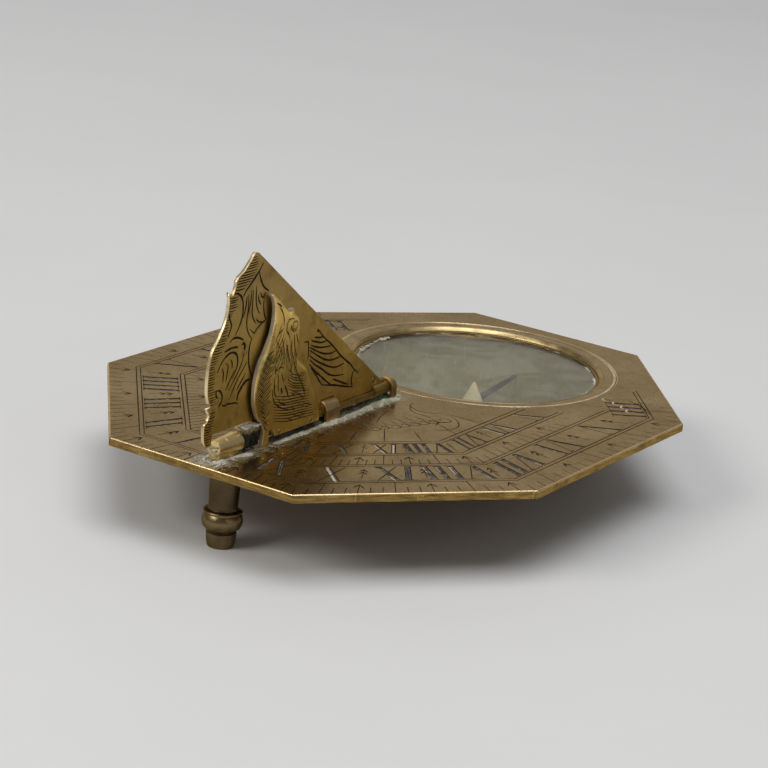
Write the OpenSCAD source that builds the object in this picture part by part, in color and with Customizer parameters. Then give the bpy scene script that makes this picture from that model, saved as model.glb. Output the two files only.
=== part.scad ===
// Octagonal brass pocket sundial with a folding bird gnomon and a sunk compass.
// +Z is up. The origin is on the table under the middle of the plate.
// -Y is north, the end with the foot. +Y is south, the end with the compass.
// Heights marked "above the plate" are measured from the plate's top face.

/* [Plate] */
// Length of the plate along the noon line
plate_l = 76; // [70:1:80]
// Width of the plate
plate_w = 58.6; // [54:0.2:62]
// Length of each short edge, north and south
end_edge = 24.2; // [20:0.2:28]
// Length of each straight side edge, east and west
side_edge = 33.8; // [30:0.2:38]
// Thickness of the plate
plate_t = 1; // [0.8:0.1:1.2]
// Height of the plate's top face above the table
plate_top = 10.3; // [9:0.1:12]

/* [Compass] */
// Distance from the plate's middle to the compass axis, southwards
compass_y = 18.5; // [18:0.1:19.5]
// Radius of the round opening in the plate
opening_r = 17.2; // [16.5:0.1:17.4]
// Width of the brass bezel ring
bezel_w = 2.05; // [1.6:0.05:2.1]
// Width of the split ring that holds the glass down
glass_ring_w = 0.35; // [0.3:0.05:0.8]
// Depth of the glass below the plate's top face
glass_depth = 0.7; // [0.6:0.05:0.8]
// Thickness of the glass
glass_t = 0.8; // [0.6:0.1:1]
// Wall of the bowl
bowl_wall = 0.6; // [0.4:0.1:0.8]
// Length of the compass needle, tip to tip
needle_l = 28; // [22:0.5:29]
// Direction in which the needle's tail points, anticlockwise from south
needle_turn = 8; // [-20:1:20]

/* [Gnomon] */
// Angle of the style edge above the plate, at its lowest setting
style_angle = 36.2; // [35:0.1:38]
// Distance from the plate's middle to the style's apex, northwards
apex_y = 30.4; // [29:0.1:31]
// Thickness of the style
style_t = 0.4; // [0.3:0.05:0.45]
// Thickness of the bird
bird_t = 0.55; // [0.4:0.05:0.6]
// Thickness of the plain leaf behind the style
leaf_t = 0.45; // [0.3:0.05:0.5]
// Gap between the style and the bird
bird_gap = 0.35; // [0.2:0.05:0.4]

/* [Hinge] */
// Height of the hinge axis above the plate
axis_h = 1.3; // [1.3:0.05:1.5]
// Radius of the hinge bar's journals
journal_r = 0.75; // [0.65:0.05:0.8]
// Thickness of the two straps that hold the bar down
strap_t = 0.35; // [0.3:0.05:0.45]
// Radial play of the bar in its bearings
play = 0.05; // [0.02:0.01:0.08]

/* [Foot] */
// Distance from the plate's middle to the foot's axis, northwards
foot_y = 33; // [32.5:0.1:33.5]
// Radius of the foot's shank
shank_r = 1.72; // [1.5:0.02:1.9]
// Radius of the foot's bulb
bulb_r = 2.27; // [2.1:0.02:2.5]

/* [Hidden] */
$fn = 96;

brass = [0.60, 0.46, 0.26];
gold_brass = [0.70, 0.53, 0.25];
dark_brass = [0.42, 0.31, 0.17];
steel = [0.20, 0.22, 0.20];

eps = 0.01;
plate_bottom = plate_top - plate_t;
axis_z = plate_top + axis_h;

// Style and its two cheeks, as distances west of the noon line
style_x = style_t / 2;
bird_x = style_x + bird_gap;
leaf_x = -style_x - 0.12;

// Bearings along the noon line, as [north end, south end]
barrel_span = [-35.65, -31.6];
block_span = [-31.4, -28.6];
middle_span = [-15.95, -13.3];
toe_span = [-2.45, -1.5];
// Space left at each end of a strap
strap_gap = 0.12;
strap_r = journal_r + play + strap_t;
// Radius that the folding pieces keep clear of around each strap
strap_clear_r = strap_r + 0.15;

// Flat top of the hinge bar, above its axis, on which the style comes to rest
bar_top = 0.15;
style_bottom = axis_h + bar_top + 0.05;
// Toe rivet on which the style tilts, as [along the noon line, above the plate]
toe_rivet_at = [-5.2, 2.65];
toe_rivet_r = 0.35;
// Slot in the bar that the style's toe dips into
fork_span = [-5.4, -2.6];
fork_x = style_x + 0.04;

// Foot, from the table upwards
spring_t = 0.3;
foot_top = plate_bottom - spring_t;
stud_r = 0.78;
stud_bottom = foot_top - 2.7;

// Compass, radii and heights
bowl_r = opening_r - 0.7;
flange_r = opening_r + 1.3;
flange_t = 0.6;
bezel_r = opening_r - 0.05;
bezel_in_r = bezel_r - bezel_w;
glass_r = opening_r - 1.2;
glass_top = plate_top - glass_depth;
glass_bottom = glass_top - glass_t;
bowl_in_r = bowl_r - 1.1;
card_t = 0.25;
needle_z = plate_top - 5.2;
needle_t = 0.25;
pin_r = 0.4;
cap_r = 1.25;
cap_h = 2.45;

// A smooth curve through the points p, with n steps to each stretch
function spline_at(a, b, c, d, t) =
    0.5 * ((2 * b) + (c - a) * t + (2 * a - 5 * b + 4 * c - d) * t * t
           + (3 * b - a - 3 * c + d) * t * t * t);
function smooth(p, n = 6) = concat(
    [for (i = [0 : len(p) - 2], k = [0 : n - 1])
        spline_at(p[max(i - 1, 0)], p[i], p[i + 1], p[min(i + 2, len(p) - 1)], k / n)],
    [p[len(p) - 1]]);

// Lays an outline of [along the noon line, above the plate] in the gnomon's plane,
// from x to x + t west of the noon line
module sheet(x, t) {
    translate([x, 0, plate_top]) rotate([90, 0, 90]) linear_extrude(t) children();
}

// A round bar along the noon line, on the hinge axis
module on_axis(span, r1, r2) {
    translate([0, span[0], axis_z]) rotate([-90, 0, 0]) cylinder(h = span[1] - span[0], r1 = r1, r2 = r2);
}

module octagon(inset = 0) {
    x = plate_w / 2 - inset;
    y = plate_l / 2 - inset;
    cut = inset * tan(22.5);
    ex = end_edge / 2 - cut;
    sy = side_edge / 2 - cut;
    polygon([[ex, -y], [x, -sy], [x, sy], [ex, y], [-ex, y], [-x, sy], [-x, -sy], [-ex, -y]]);
}

module dial_plate() {
    leg_x = strap_r - strap_t;
    color(brass) difference() {
        translate([0, 0, plate_bottom]) linear_extrude(plate_t) octagon();
        translate([0, compass_y, plate_bottom - 1]) cylinder(h = plate_t + 2, r = opening_r);
        translate([0, -foot_y, plate_bottom - 1]) cylinder(h = plate_t + 2, r = stud_r + 0.02);
        translate([-0.6, block_span[0] + 0.6, plate_bottom - 1]) cube([1.2, 1.9, plate_t + 2]);
        for (span = [middle_span, toe_span], side = [0, 1]) {
            mirror([side, 0, 0]) translate([leg_x, span[0], plate_bottom - 1])
                cube([strap_t, span[1] - span[0], plate_t + 2]);
        }
    }
}

module bezel_ring() {
    color(gold_brass) translate([0, compass_y, 0]) rotate_extrude() polygon([
        [bezel_r, plate_bottom], [bezel_r, plate_top], [bezel_r - 0.28, plate_top],
        [bezel_r - 0.36, plate_top - 0.07], [bezel_in_r + 0.34, plate_top - 0.07],
        [bezel_in_r, plate_top - 0.5], [bezel_in_r, glass_top + eps],
        [glass_r + 0.05, glass_top + eps], [glass_r + 0.05, plate_bottom]
    ]);
}

module glass_ring() {
    split = 6;
    color(gold_brass) translate([0, compass_y, 0]) rotate([0, 0, 250]) rotate_extrude(angle = 360 - split)
        translate([bezel_in_r - glass_ring_w - 0.03, glass_top + eps]) square([glass_ring_w, 0.14]);
}

module compass_glass() {
    color([0.66, 0.70, 0.66, 0.5]) translate([0, compass_y, glass_bottom + eps])
        cylinder(h = glass_t - eps, r = glass_r);
}

module compass_bowl() {
    edge = 0.8;
    color(dark_brass) translate([0, compass_y, 0]) rotate_extrude() polygon([
        [0.5, 0], [bowl_r - edge, 0], [bowl_r - edge * 0.3, edge * 0.3], [bowl_r, edge],
        [bowl_r, plate_bottom - flange_t], [flange_r, plate_bottom - flange_t],
        [flange_r, plate_bottom], [glass_r + 0.05, plate_bottom], [glass_r + 0.05, glass_bottom],
        [bowl_in_r, glass_bottom], [bowl_in_r, bowl_wall], [0.5, bowl_wall]
    ]);
}

module compass_card() {
    color([0.62, 0.60, 0.48]) translate([0, compass_y, bowl_wall]) difference() {
        cylinder(h = card_t, r = bowl_in_r - 0.1);
        translate([0, 0, -1]) cylinder(h = 3, r = 0.5);
    }
}

module pivot_pin() {
    point_z = needle_z + needle_t + cap_h * 0.62;
    shoulder_z = needle_z + needle_t + 0.3;
    color(steel) translate([0, compass_y, 0]) rotate_extrude() polygon([
        [0, 0], [0.49, 0], [0.49, bowl_wall + card_t], [1, bowl_wall + card_t],
        [1, bowl_wall + card_t + 0.4], [pin_r, bowl_wall + card_t + 0.9],
        [pin_r, shoulder_z], [0, point_z]
    ]);
}

// The needle lies north to south: a lozenge head to the north, a plain tail to the south
module needle() {
    tip = needle_l / 2;
    color([0.16, 0.20, 0.28]) translate([0, compass_y, needle_z]) rotate([0, 0, needle_turn])
        linear_extrude(needle_t) difference() {
            union() {
                circle(r = cap_r + 0.35);
                polygon([[0.6, 0], [0.25, tip], [-0.25, tip], [-0.6, 0]]);
                polygon([[-0.5, 0], [-0.3, -tip + 5.5], [-1, -tip + 3.6], [0, -tip],
                         [1, -tip + 3.6], [0.3, -tip + 5.5], [0.5, 0]]);
            }
            circle(r = pin_r + play);
        }
}

module needle_cap() {
    base = needle_z + needle_t;
    color([0.85, 0.75, 0.50]) translate([0, compass_y, base]) rotate_extrude() polygon([
        [pin_r + play, 0], [cap_r, 0], [cap_r, 0.15], [0.14, cap_h - 0.05], [0, cap_h],
        [0, cap_h * 0.72], [pin_r + play, 0.4]
    ]);
}

module foot() {
    base_h = 1.7;
    groove_h = 0.25;
    bulb_h = 2.05;
    ring_h = 0.3;
    bulb_z = base_h + groove_h + bulb_h / 2;
    ring_z = base_h + groove_h + bulb_h;
    color(dark_brass) translate([0, -foot_y, 0]) difference() {
        rotate_extrude() union() {
            polygon([[0, 0], [1.4, 0], [1.5, 0.1], [shank_r, base_h], [1.45, base_h + 0.05],
                     [1.45, ring_z], [shank_r, ring_z + ring_h], [shank_r, foot_top], [0, foot_top]]);
            translate([0, ring_z]) square([bulb_r - 0.12, ring_h]);
            intersection() {
                translate([0, bulb_z - bulb_h / 2]) square([bulb_r + 1, bulb_h]);
                translate([bulb_r - 1.25, bulb_z]) circle(r = 1.25);
            }
            translate([0, bulb_z - bulb_h / 2]) square([bulb_r - 1.2, bulb_h]);
        }
        translate([0, 0, stud_bottom - 0.2]) cylinder(h = foot_top, r = stud_r + 0.02);
    }
}

// Bearing for the bar's north end. Its stud runs down through the plate into the foot
module north_barrel() {
    color(gold_brass) difference() {
        union() {
            on_axis(barrel_span, 0.85, 1.15);
            translate([-0.6, barrel_span[0] + 0.3, plate_top])
                cube([1.2, barrel_span[1] - barrel_span[0] - 0.6, axis_h]);
            translate([0, -foot_y, stud_bottom]) cylinder(h = plate_top + 0.2 - stud_bottom, r = stud_r);
        }
        on_axis([barrel_span[1] - 2.6, barrel_span[1] + 1], journal_r + play, journal_r + play);
    }
}

// Steel spring, held between the plate and the foot, with its nose in the plate's slot
module leaf_spring() {
    tail_y = -foot_y - 2.3;
    nose_y = block_span[0] + 0.7;
    color(steel) difference() {
        union() {
            translate([-1.6, tail_y, foot_top]) cube([3.2, block_span[1] + 0.9 - tail_y, spring_t]);
            translate([-0.5, nose_y, foot_top]) cube([1, 1.7, plate_top - foot_top - 0.03]);
        }
        translate([0, -foot_y, foot_top - 1]) cylinder(h = 3, r = stud_r + 0.02);
    }
}

// A brass strap bent over the hinge bar, its legs through the plate and turned out beneath it
module strap(span) {
    in_r = strap_r - strap_t;
    leg_h = axis_z - plate_bottom;
    foot_l = 1.4;
    translate([0, span[0], 0]) rotate([90, 0, 0]) mirror([0, 0, 1]) linear_extrude(span[1] - span[0]) {
        translate([0, axis_z]) difference() {
            circle(r = strap_r);
            circle(r = in_r);
            translate([-strap_r - 1, -strap_r - 2]) square([2 * strap_r + 2, strap_r + 2]);
        }
        for (side = [0, 1]) mirror([side, 0]) {
            translate([in_r, plate_bottom - strap_t]) square([strap_t, leg_h + strap_t]);
            translate([in_r, plate_bottom - strap_t]) square([strap_t + foot_l, strap_t]);
        }
    }
}

module middle_strap() {
    color(gold_brass) strap(middle_span);
}

module toe_strap() {
    color(gold_brass) strap(toe_span);
}

// Bar that carries the gnomon: round in its bearings, flat between them for the cheeks
module hinge_bar() {
    start = barrel_span[1] - 2.4;
    end = toe_span[1] + 0.1;
    color(brass) difference() {
        on_axis([start, end], journal_r, journal_r);
        for (span = [[block_span[1], middle_span[0] - strap_gap],
                     [middle_span[1] + strap_gap, fork_span[0]]]) {
            long = span[1] - span[0];
            translate([-2, span[0], axis_z + bar_top]) cube([4, long, 2]);
            translate([bird_x, span[0], axis_z - 2]) cube([2, long, 4]);
            translate([leaf_x - 2, span[0], axis_z - 2]) cube([2, long, 4]);
        }
        translate([-fork_x, fork_span[0], axis_z - 2]) cube([2 * fork_x, fork_span[1] - fork_span[0], 4]);
        rivet_holes();
    }
}

// Steel block that the leaf spring bears on, rounded below so that it can turn over the plate
module cam_block() {
    w = 1.9;
    top = 1.55;
    long = block_span[1] - block_span[0];
    color(steel) difference() {
        union() {
            intersection() {
                on_axis(block_span, journal_r + 0.5, journal_r + 0.5);
                translate([-w / 2, block_span[0], axis_z - 1]) cube([w, long, 2]);
            }
            translate([-w / 2, block_span[0], axis_z]) cube([w, long, top]);
        }
        on_axis([block_span[0] - 1, block_span[1] + 1], journal_r + eps, journal_r + eps);
    }
}

// Rivets through leaf, bar and bird, as distances along the noon line
cheek_rivet_y = [-25, -19];
cheek_rivet_z = axis_h - 0.15;
cheek_rivet_r = 0.25;

module rivet_holes() {
    for (y = cheek_rivet_y) translate([-2, y, plate_top + cheek_rivet_z])
        rotate([0, 90, 0]) cylinder(h = 4, r = cheek_rivet_r);
}

module cheek_rivets() {
    color(gold_brass) for (y = cheek_rivet_y)
        translate([leaf_x - leaf_t, y, plate_top + cheek_rivet_z]) rotate([0, 90, 0])
            cylinder(h = leaf_t - leaf_x + bird_x + bird_t, r = cheek_rivet_r - eps);
}

// Space that a folding sheet leaves around the middle strap
module strap_notch() {
    h = axis_h + strap_clear_r;
    translate([middle_span[0] - strap_gap, -1]) square([middle_span[1] - middle_span[0] + 2 * strap_gap, h + 1]);
}

// Height of the style edge at a distance y along the noon line
function edge_z(y) = apex_z + (-apex_y - y) * tan(style_angle);
apex_z = 22;

module gnomon_leaf() {
    low = axis_h - 0.55;
    shoulder = toe_rivet_at[1] - 0.6;
    top = smooth([[-28.5, 7], [-27, 10.5], [-24, 12.2], [-21, 11], [-17, 9.2], [-13, 6.9], [-9, 4.6],
                  [-6.6, 3.6], [-5.2, 3.3], [-4.5, 2.9], [-4.3, shoulder]]);
    color(brass) difference() {
        sheet(leaf_x - leaf_t, leaf_t) difference() {
            polygon(concat([[-28.5, low]], top, [[-5.6, shoulder], [-5.6, low]]));
            strap_notch();
        }
        toe_rivet_hole();
        rivet_holes();
    }
}

module toe_rivet_hole() {
    translate([-2, toe_rivet_at[0], plate_top + toe_rivet_at[1]]) rotate([0, 90, 0])
        cylinder(h = 4, r = toe_rivet_r + play);
}

// Rivet that the style tilts on: tight in the leaf, running in the style
module toe_rivet() {
    color(gold_brass) translate([leaf_x - leaf_t, toe_rivet_at[0], plate_top + toe_rivet_at[1]])
        rotate([0, 90, 0]) cylinder(h = leaf_t - leaf_x + style_x, r = toe_rivet_r);
}

// Bird that faces north, whose beak points at the latitude on the style
module bird() {
    low = axis_h - 0.55;
    breast = smooth([[-28.4, 17.1], [-27.75, 15.8], [-27.7, 14.2], [-28, 12.7], [-28.8, 11.2], [-29.8, 9.6],
                     [-30.3, 7.6], [-30.2, 5.4], [-29.5, 3.8], [-28.75, 3]]);
    leg = smooth([[-28.5, 2.6], [-28.1, 1.9], [-28.05, 0.9], [-28.2, 0.05]], 3);
    toes = [[-26.75, 0.05], [-26.85, 0.4]];
    heel = smooth([[-27.05, 1], [-26.95, 1.6], [-26.4, 1.7], [-26, 1.2]], 3);
    tail = smooth([[-17.35, 1.5], [-18.3, 3.4], [-19.6, 5.6], [-20.8, 7.5], [-22.2, 8.5]]);
    nape = smooth([[-22.9, 9.2], [-22.6, 10.4], [-22.65, 11.8], [-22.75, 12.8], [-23.2, 13.8], [-24, 14.3]]);
    crest = [[-24.25, 15], [-24.75, 14.85]];
    brow = smooth([[-25.2, 14.9], [-26, 15.5], [-26.9, 16.3], [-28.25, 17.25]]);
    color(gold_brass) difference() {
        sheet(bird_x, bird_t) polygon(concat(breast, leg, toes, heel, [[-25.8, low], [-17.3, low]],
                                             tail, nape, crest, brow));
        rivet_holes();
    }
}

// Style with its ornamental north edge. It tilts on the toe rivet
module style_plate() {
    toe_y = -2.7;
    heel_z = 1.8;
    over_block = 3.1;
    crown = smooth([[-31.1, apex_z + 0.1], [-31.8, 21.3], [-32.8, 20.4], [-33.7, 19.9]], 4);
    notch = smooth([[-34.1, 19.4], [-34.15, 18.8], [-34.45, 18.1]], 3);
    spur = [[-34.85, 17.95], [-35.25, 18.45]];
    belly = smooth([[-35.1, 17.2], [-35.35, 15.6], [-36.2, 13.9], [-37.3, 12.5], [-37.8, 11], [-37.9, 9.4],
                    [-37.8, 7.9], [-37.4, 6.7]]);
    cusp = [[-37, 6.25], [-37.7, 6.2]];
    heel = smooth([[-37.1, 5.3], [-37.35, 4.8], [-37.85, 4.4], [-37.9, 3.5], [-37.75, 2.5], [-37.3, heel_z]], 4);
    color(gold_brass) difference() {
        sheet(-style_x, style_t) difference() {
            polygon(concat([[toe_y, edge_z(toe_y)], [-apex_y, apex_z]], crown, notch, spur, belly, cusp, heel,
                           [[-36.45, heel_z], [-36.3, over_block], [-28.3, over_block],
                            [-28.1, style_bottom], [toe_y, style_bottom]]));
            strap_notch();
        }
        toe_rivet_hole();
    }
}

dial_plate();
bezel_ring();
glass_ring();
compass_glass();
compass_bowl();
compass_card();
pivot_pin();
needle();
needle_cap();
foot();
north_barrel();
leaf_spring();
middle_strap();
toe_strap();
hinge_bar();
cam_block();
gnomon_leaf();
bird();
cheek_rivets();
toe_rivet();
style_plate();
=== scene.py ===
"""Looks for the folding octagonal sundial: engraved brass sheets, turned and bent fittings, old glass.

Lengths in this script are in mm in the shared frame and become metres when a mesh is made.
+Z is up, -Y is north, +X is west. The engraved faces are laid out in the plane of their own sheet.
"""
import math
import random

import bmesh
import bpy
import numpy as np
from mathutils import Matrix, Vector, noise
from mathutils.geometry import delaunay_2d_cdt


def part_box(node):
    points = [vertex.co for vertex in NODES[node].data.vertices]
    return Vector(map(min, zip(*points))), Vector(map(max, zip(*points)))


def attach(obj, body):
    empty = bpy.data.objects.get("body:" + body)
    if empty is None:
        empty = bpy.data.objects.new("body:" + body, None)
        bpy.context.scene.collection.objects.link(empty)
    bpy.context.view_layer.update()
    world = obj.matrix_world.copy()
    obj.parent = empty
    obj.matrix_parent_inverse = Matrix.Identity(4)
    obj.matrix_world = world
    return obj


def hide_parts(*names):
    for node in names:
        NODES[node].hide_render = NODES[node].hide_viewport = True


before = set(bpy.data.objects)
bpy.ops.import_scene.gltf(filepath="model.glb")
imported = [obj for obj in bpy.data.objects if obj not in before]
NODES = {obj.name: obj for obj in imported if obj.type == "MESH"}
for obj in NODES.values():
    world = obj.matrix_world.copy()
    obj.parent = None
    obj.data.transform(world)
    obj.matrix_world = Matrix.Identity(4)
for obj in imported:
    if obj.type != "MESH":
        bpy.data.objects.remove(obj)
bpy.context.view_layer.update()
MM = 0.001
rng = random.Random(11)

# What an engraved face's triangles are, and so which material slot they take
FACE, DARK, RIM, PALE, SIDE, GREY, BACK = range(7)


def edge_of(node, axis, high=True):
    """A node's lowest or highest place along an axis, in mm."""
    low_corner, high_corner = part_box(node)
    return (high_corner if high else low_corner)[axis] / MM


def middle_of(node, axis):
    """The middle of a node's box along an axis, in mm."""
    return (edge_of(node, axis) + edge_of(node, axis, False)) / 2


def linked(name, data):
    """A new object of the scene with this data."""
    thing = bpy.data.objects.new(name, data)
    bpy.context.scene.collection.objects.link(thing)
    return thing


def smooth(mesh, sharp=None):
    """Smooth shading, with edges above an angle in degrees left sharp."""
    mesh.polygons.foreach_set("use_smooth", [True] * len(mesh.polygons))
    if sharp:
        mesh.set_sharp_from_angle(angle=math.radians(sharp))


PLATE_TOP = edge_of("dial_plate", 2)
PLATE_BOTTOM = edge_of("dial_plate", 2, False)
BEZEL_R = edge_of("bezel_ring", 0)
COMPASS = (0.0, middle_of("compass_bowl", 1))
COMPASS_PLACE = (0, COMPASS[1] * MM, 0)


# ---------------------------------------------------------------- curves and outlines

def along(points, step):
    """Points about step apart on a smooth curve through the given points."""
    out = []
    last = len(points) - 1
    for i in range(last):
        a = points[max(i - 1, 0)]
        b = points[i]
        c = points[i + 1]
        d = points[min(i + 2, last)]
        count = max(1, round(math.dist(b, c) / step))
        for k in range(count):
            t = k / count
            out.append(tuple(
                0.5 * (2 * b[n] + (c[n] - a[n]) * t
                       + (2 * a[n] - 5 * b[n] + 4 * c[n] - d[n]) * t * t
                       + (3 * b[n] - a[n] - 3 * c[n] + d[n]) * t ** 3)
                for n in range(len(b))))
    out.append(tuple(points[last]))
    return out


def area_of(loop):
    """Signed area, positive for a loop that turns anticlockwise."""
    return 0.5 * sum(loop[i - 1][0] * loop[i][1] - loop[i][0] * loop[i - 1][1] for i in range(len(loop)))


def tidy_loop(loop):
    """The loop without doubled points and points in the middle of a straight line."""
    near = 0.01
    least_bend = 1e-4
    kept = []
    for p in loop:
        if not kept or math.dist(p, kept[-1]) > near:
            kept.append(p)
    if math.dist(kept[0], kept[-1]) <= near:
        kept.pop()
    out = []
    for i, p in enumerate(kept):
        a = kept[i - 1]
        b = kept[(i + 1) % len(kept)]
        bend = (p[0] - a[0]) * (b[1] - p[1]) - (p[1] - a[1]) * (b[0] - p[0])
        if abs(bend) > least_bend:
            out.append(p)
    return out


def face_loops(node, axis):
    """Outlines of the flat face at the high end of an axis, the outer one first, in mm.
    The material is on the left of every loop."""
    mesh = NODES[node].data
    u = (axis + 1) % 3
    v = (axis + 2) % 3
    level = max(p.co[axis] for p in mesh.vertices)
    same_level = 1e-6
    key = [(round(p.co[u] / MM, 3), round(p.co[v] / MM, 3)) for p in mesh.vertices]
    flat = [abs(p.co[axis] - level) < same_level for p in mesh.vertices]
    follows = set()
    for face in mesh.polygons:
        if all(flat[i] for i in face.vertices):
            corners = [key[i] for i in face.vertices]
            for a, b in zip(corners, corners[1:] + corners[:1]):
                if (b, a) in follows:
                    follows.remove((b, a))
                elif a != b:
                    follows.add((a, b))
    after = {}
    for a, b in sorted(follows):
        after.setdefault(a, []).append(b)
    loops = []
    while after:
        start = min(after)
        loop = []
        here = start
        while here in after:
            loop.append(here)
            there = after[here].pop()
            if not after[here]:
                del after[here]
            here = there
        loops.append(tidy_loop(loop))
    loops = [loop for loop in loops if len(loop) > 2]
    return sorted(loops, key=lambda loop: -abs(area_of(loop)))


def inset(loop, by):
    """The loop moved towards its material by a distance."""
    sharpest = 0.6
    out = []
    for i, p in enumerate(loop):
        a = loop[i - 1]
        b = loop[(i + 1) % len(loop)]
        la = math.dist(a, p)
        lb = math.dist(p, b)
        na = (-(p[1] - a[1]) / la, (p[0] - a[0]) / la)
        nb = (-(b[1] - p[1]) / lb, (b[0] - p[0]) / lb)
        k = by / max(1 + na[0] * nb[0] + na[1] * nb[1], sharpest)
        out.append((p[0] + (na[0] + nb[0]) * k, p[1] + (na[1] + nb[1]) * k))
    return out


def nearest_on(loops, points):
    """For each point, its distance to the loops and the (loop, edge, share) of the nearest place."""
    starts = []
    ends = []
    names = []
    for n, loop in enumerate(loops):
        for i, p in enumerate(loop):
            starts.append(p)
            ends.append(loop[(i + 1) % len(loop)])
            names.append((n, i))
    a = np.array(starts)
    d = np.array(ends) - a
    length = np.maximum((d * d).sum(1), 1e-12)
    found = []
    for p in np.array(points):
        t = np.clip(((p - a) * d).sum(1) / length, 0, 1)
        gap = np.hypot(*(a + d * t[:, None] - p).T)
        k = int(gap.argmin())
        found.append((float(gap[k]), names[k][0], names[k][1], float(t[k])))
    return found


# ---------------------------------------------------------------- engraving

class Graver:
    """Collects the cuts of one engraved face as small convex patches in mm, each with its fill."""

    least_area = 1e-4

    def __init__(self):
        self.patches = []

    def patch(self, corners, fill=DARK):
        """One convex patch, left out where it is too small to matter."""
        if area_of(corners) < 0:
            corners = corners[::-1]
        if abs(area_of(corners)) > self.least_area:
            self.patches.append((corners, fill))

    def cut(self, points, width, fill=DARK, ends=0.35, step=0.6, wobble=0.15):
        """One stroke of the graver: it swells from its ends, and its width wavers by hand."""
        taper = 0.3
        path = along(points, step)
        last = len(path) - 1
        left = []
        right = []
        for i, p in enumerate(path):
            a = path[max(i - 1, 0)]
            b = path[min(i + 1, last)]
            dx = b[0] - a[0]
            dy = b[1] - a[1]
            span = math.hypot(dx, dy) or 1e-9
            share = i / last
            swell = min(1, ends + (1 - ends) * min(share, 1 - share) / taper)
            half = width * swell * rng.uniform(1 - wobble, 1 + wobble) / 2
            left.append((p[0] - dy / span * half, p[1] + dx / span * half))
            right.append((p[0] + dy / span * half, p[1] - dx / span * half))
        for i in range(last):
            self.patch([right[i], right[i + 1], left[i + 1], left[i]], fill)


def sheet_mesh(loops, axis, bottom, top, graver, rim, depth, crown=None, grid=0):
    """Vertices and faces, in mm, of a sheet with a rounded rim, whose high face is engraved.
    crown(distances) gives how far the face drops at each distance from its outline.
    Returns (vertices, faces, materials, which faces are rim)."""
    uncut_margin = 0.05
    row_height = 0.87
    inner = [inset(loop, rim) for loop in loops]
    limit = [inset(loop, rim + uncut_margin) for loop in loops]
    coords = []
    faces = []
    for ring in inner + limit + [corners for corners, _ in graver.patches]:
        start = len(coords)
        coords.extend(Vector(p) for p in ring)
        order = list(range(start, start + len(ring)))
        faces.append(order if area_of(ring) > 0 else order[::-1])
    if grid:
        us = [p[0] for p in inner[0]]
        vs = [p[1] for p in inner[0]]
        rows = int((max(vs) - min(vs)) / (grid * row_height)) + 1
        for row in range(rows):
            v = min(vs) + row * grid * row_height
            u = min(us) + (row % 2) * grid / 2
            while u < max(us):
                coords.append(Vector((u + rng.uniform(-0.1, 0.1) * grid, v)))
                u += grid
    points, _, tris, _, _, sources = delaunay_2d_cdt(coords, [], faces, 0, 1e-5)
    rings = len(loops)
    flat = [(p.x, p.y) for p in points]
    kept = []
    fills = []
    for tri, source in zip(tris, sources):
        if 0 not in source or any(1 <= s < rings for s in source):
            continue
        a, b, c = (flat[i] for i in tri)
        turn = (b[0] - a[0]) * (c[1] - a[1]) - (c[0] - a[0]) * (b[1] - a[1])
        if abs(turn) < 1e-9:
            continue
        kept.append(tuple(tri) if turn > 0 else tuple(tri[::-1]))
        cuts = [s - 2 * rings for s in source if s >= 2 * rings]
        inside = rings in source and not any(rings < s < 2 * rings for s in source)
        fills.append(graver.patches[max(cuts)][1] if cuts and inside else FACE)

    used = sorted({i for tri in kept for i in tri})
    near = dict(zip(used, nearest_on(inner, [flat[i] for i in used])))
    drop = {i: 0.0 for i in used}
    if crown:
        drop = {i: crown(near[i][0]) for i in used}
    low_rim = min(rim, (top - bottom) / 3)
    # Steps of the rounded rim: how far out, on which side of the sheet, and how far in from its face
    levels = [(math.sin(a), "high", 1 - math.cos(a)) for a in (math.radians(d) for d in (30, 60, 90))]
    under = 0.8
    levels += [(1.0, "low", 1.0), (math.sin(under), "low", 1 - math.cos(under))]

    verts = []
    index = {}

    def place(i, level):
        if (i, level) not in index:
            index[(i, level)] = len(verts)
            u, v = flat[i]
            if level == "face":
                w = top - drop[i]
            elif level == "cut":
                w = top - drop[i] - depth
            elif level == "back":
                w = bottom
            else:
                _, ring, edge, t = near[i]
                loop = loops[ring]
                p = loop[edge]
                q = loop[(edge + 1) % len(loop)]
                out, side, fall = levels[level]
                u += (p[0] + (q[0] - p[0]) * t - u) * out
                v += (p[1] + (q[1] - p[1]) * t - v) * out
                w = top - drop[i] - rim * fall if side == "high" else bottom + low_rim * fall
            spot = [0.0, 0.0, 0.0]
            spot[(axis + 1) % 3] = u
            spot[(axis + 2) % 3] = v
            spot[axis] = w
            verts.append(spot)
        return index[(i, level)]

    out_faces = []
    materials = []
    rounded = []

    def face(corners, material, is_rim=False):
        out_faces.append(corners)
        materials.append(material)
        rounded.append(is_rim)

    beside = {}
    for n, tri in enumerate(kept):
        for a, b in zip(tri, tri[1:] + tri[:1]):
            beside[(a, b)] = n
    for tri, fill in zip(kept, fills):
        level = "face" if fill == FACE else "cut"
        face([place(i, level) for i in tri], fill)
        face([place(i, "back") for i in tri[::-1]], BACK)
    for (a, b), n in beside.items():
        other = beside.get((b, a))
        if other is None:
            steps = ["face"] + list(range(len(levels))) + ["back"]
            for k, (up, down) in enumerate(zip(steps, steps[1:])):
                face([place(b, up), place(a, up), place(a, down), place(b, down)],
                     RIM if k < 3 else SIDE, True)
        elif fills[n] == FACE and fills[other] != FACE:
            face([place(b, "face"), place(a, "face"), place(a, "cut"), place(b, "cut")], fills[other])
    return verts, out_faces, materials, rounded


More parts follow.
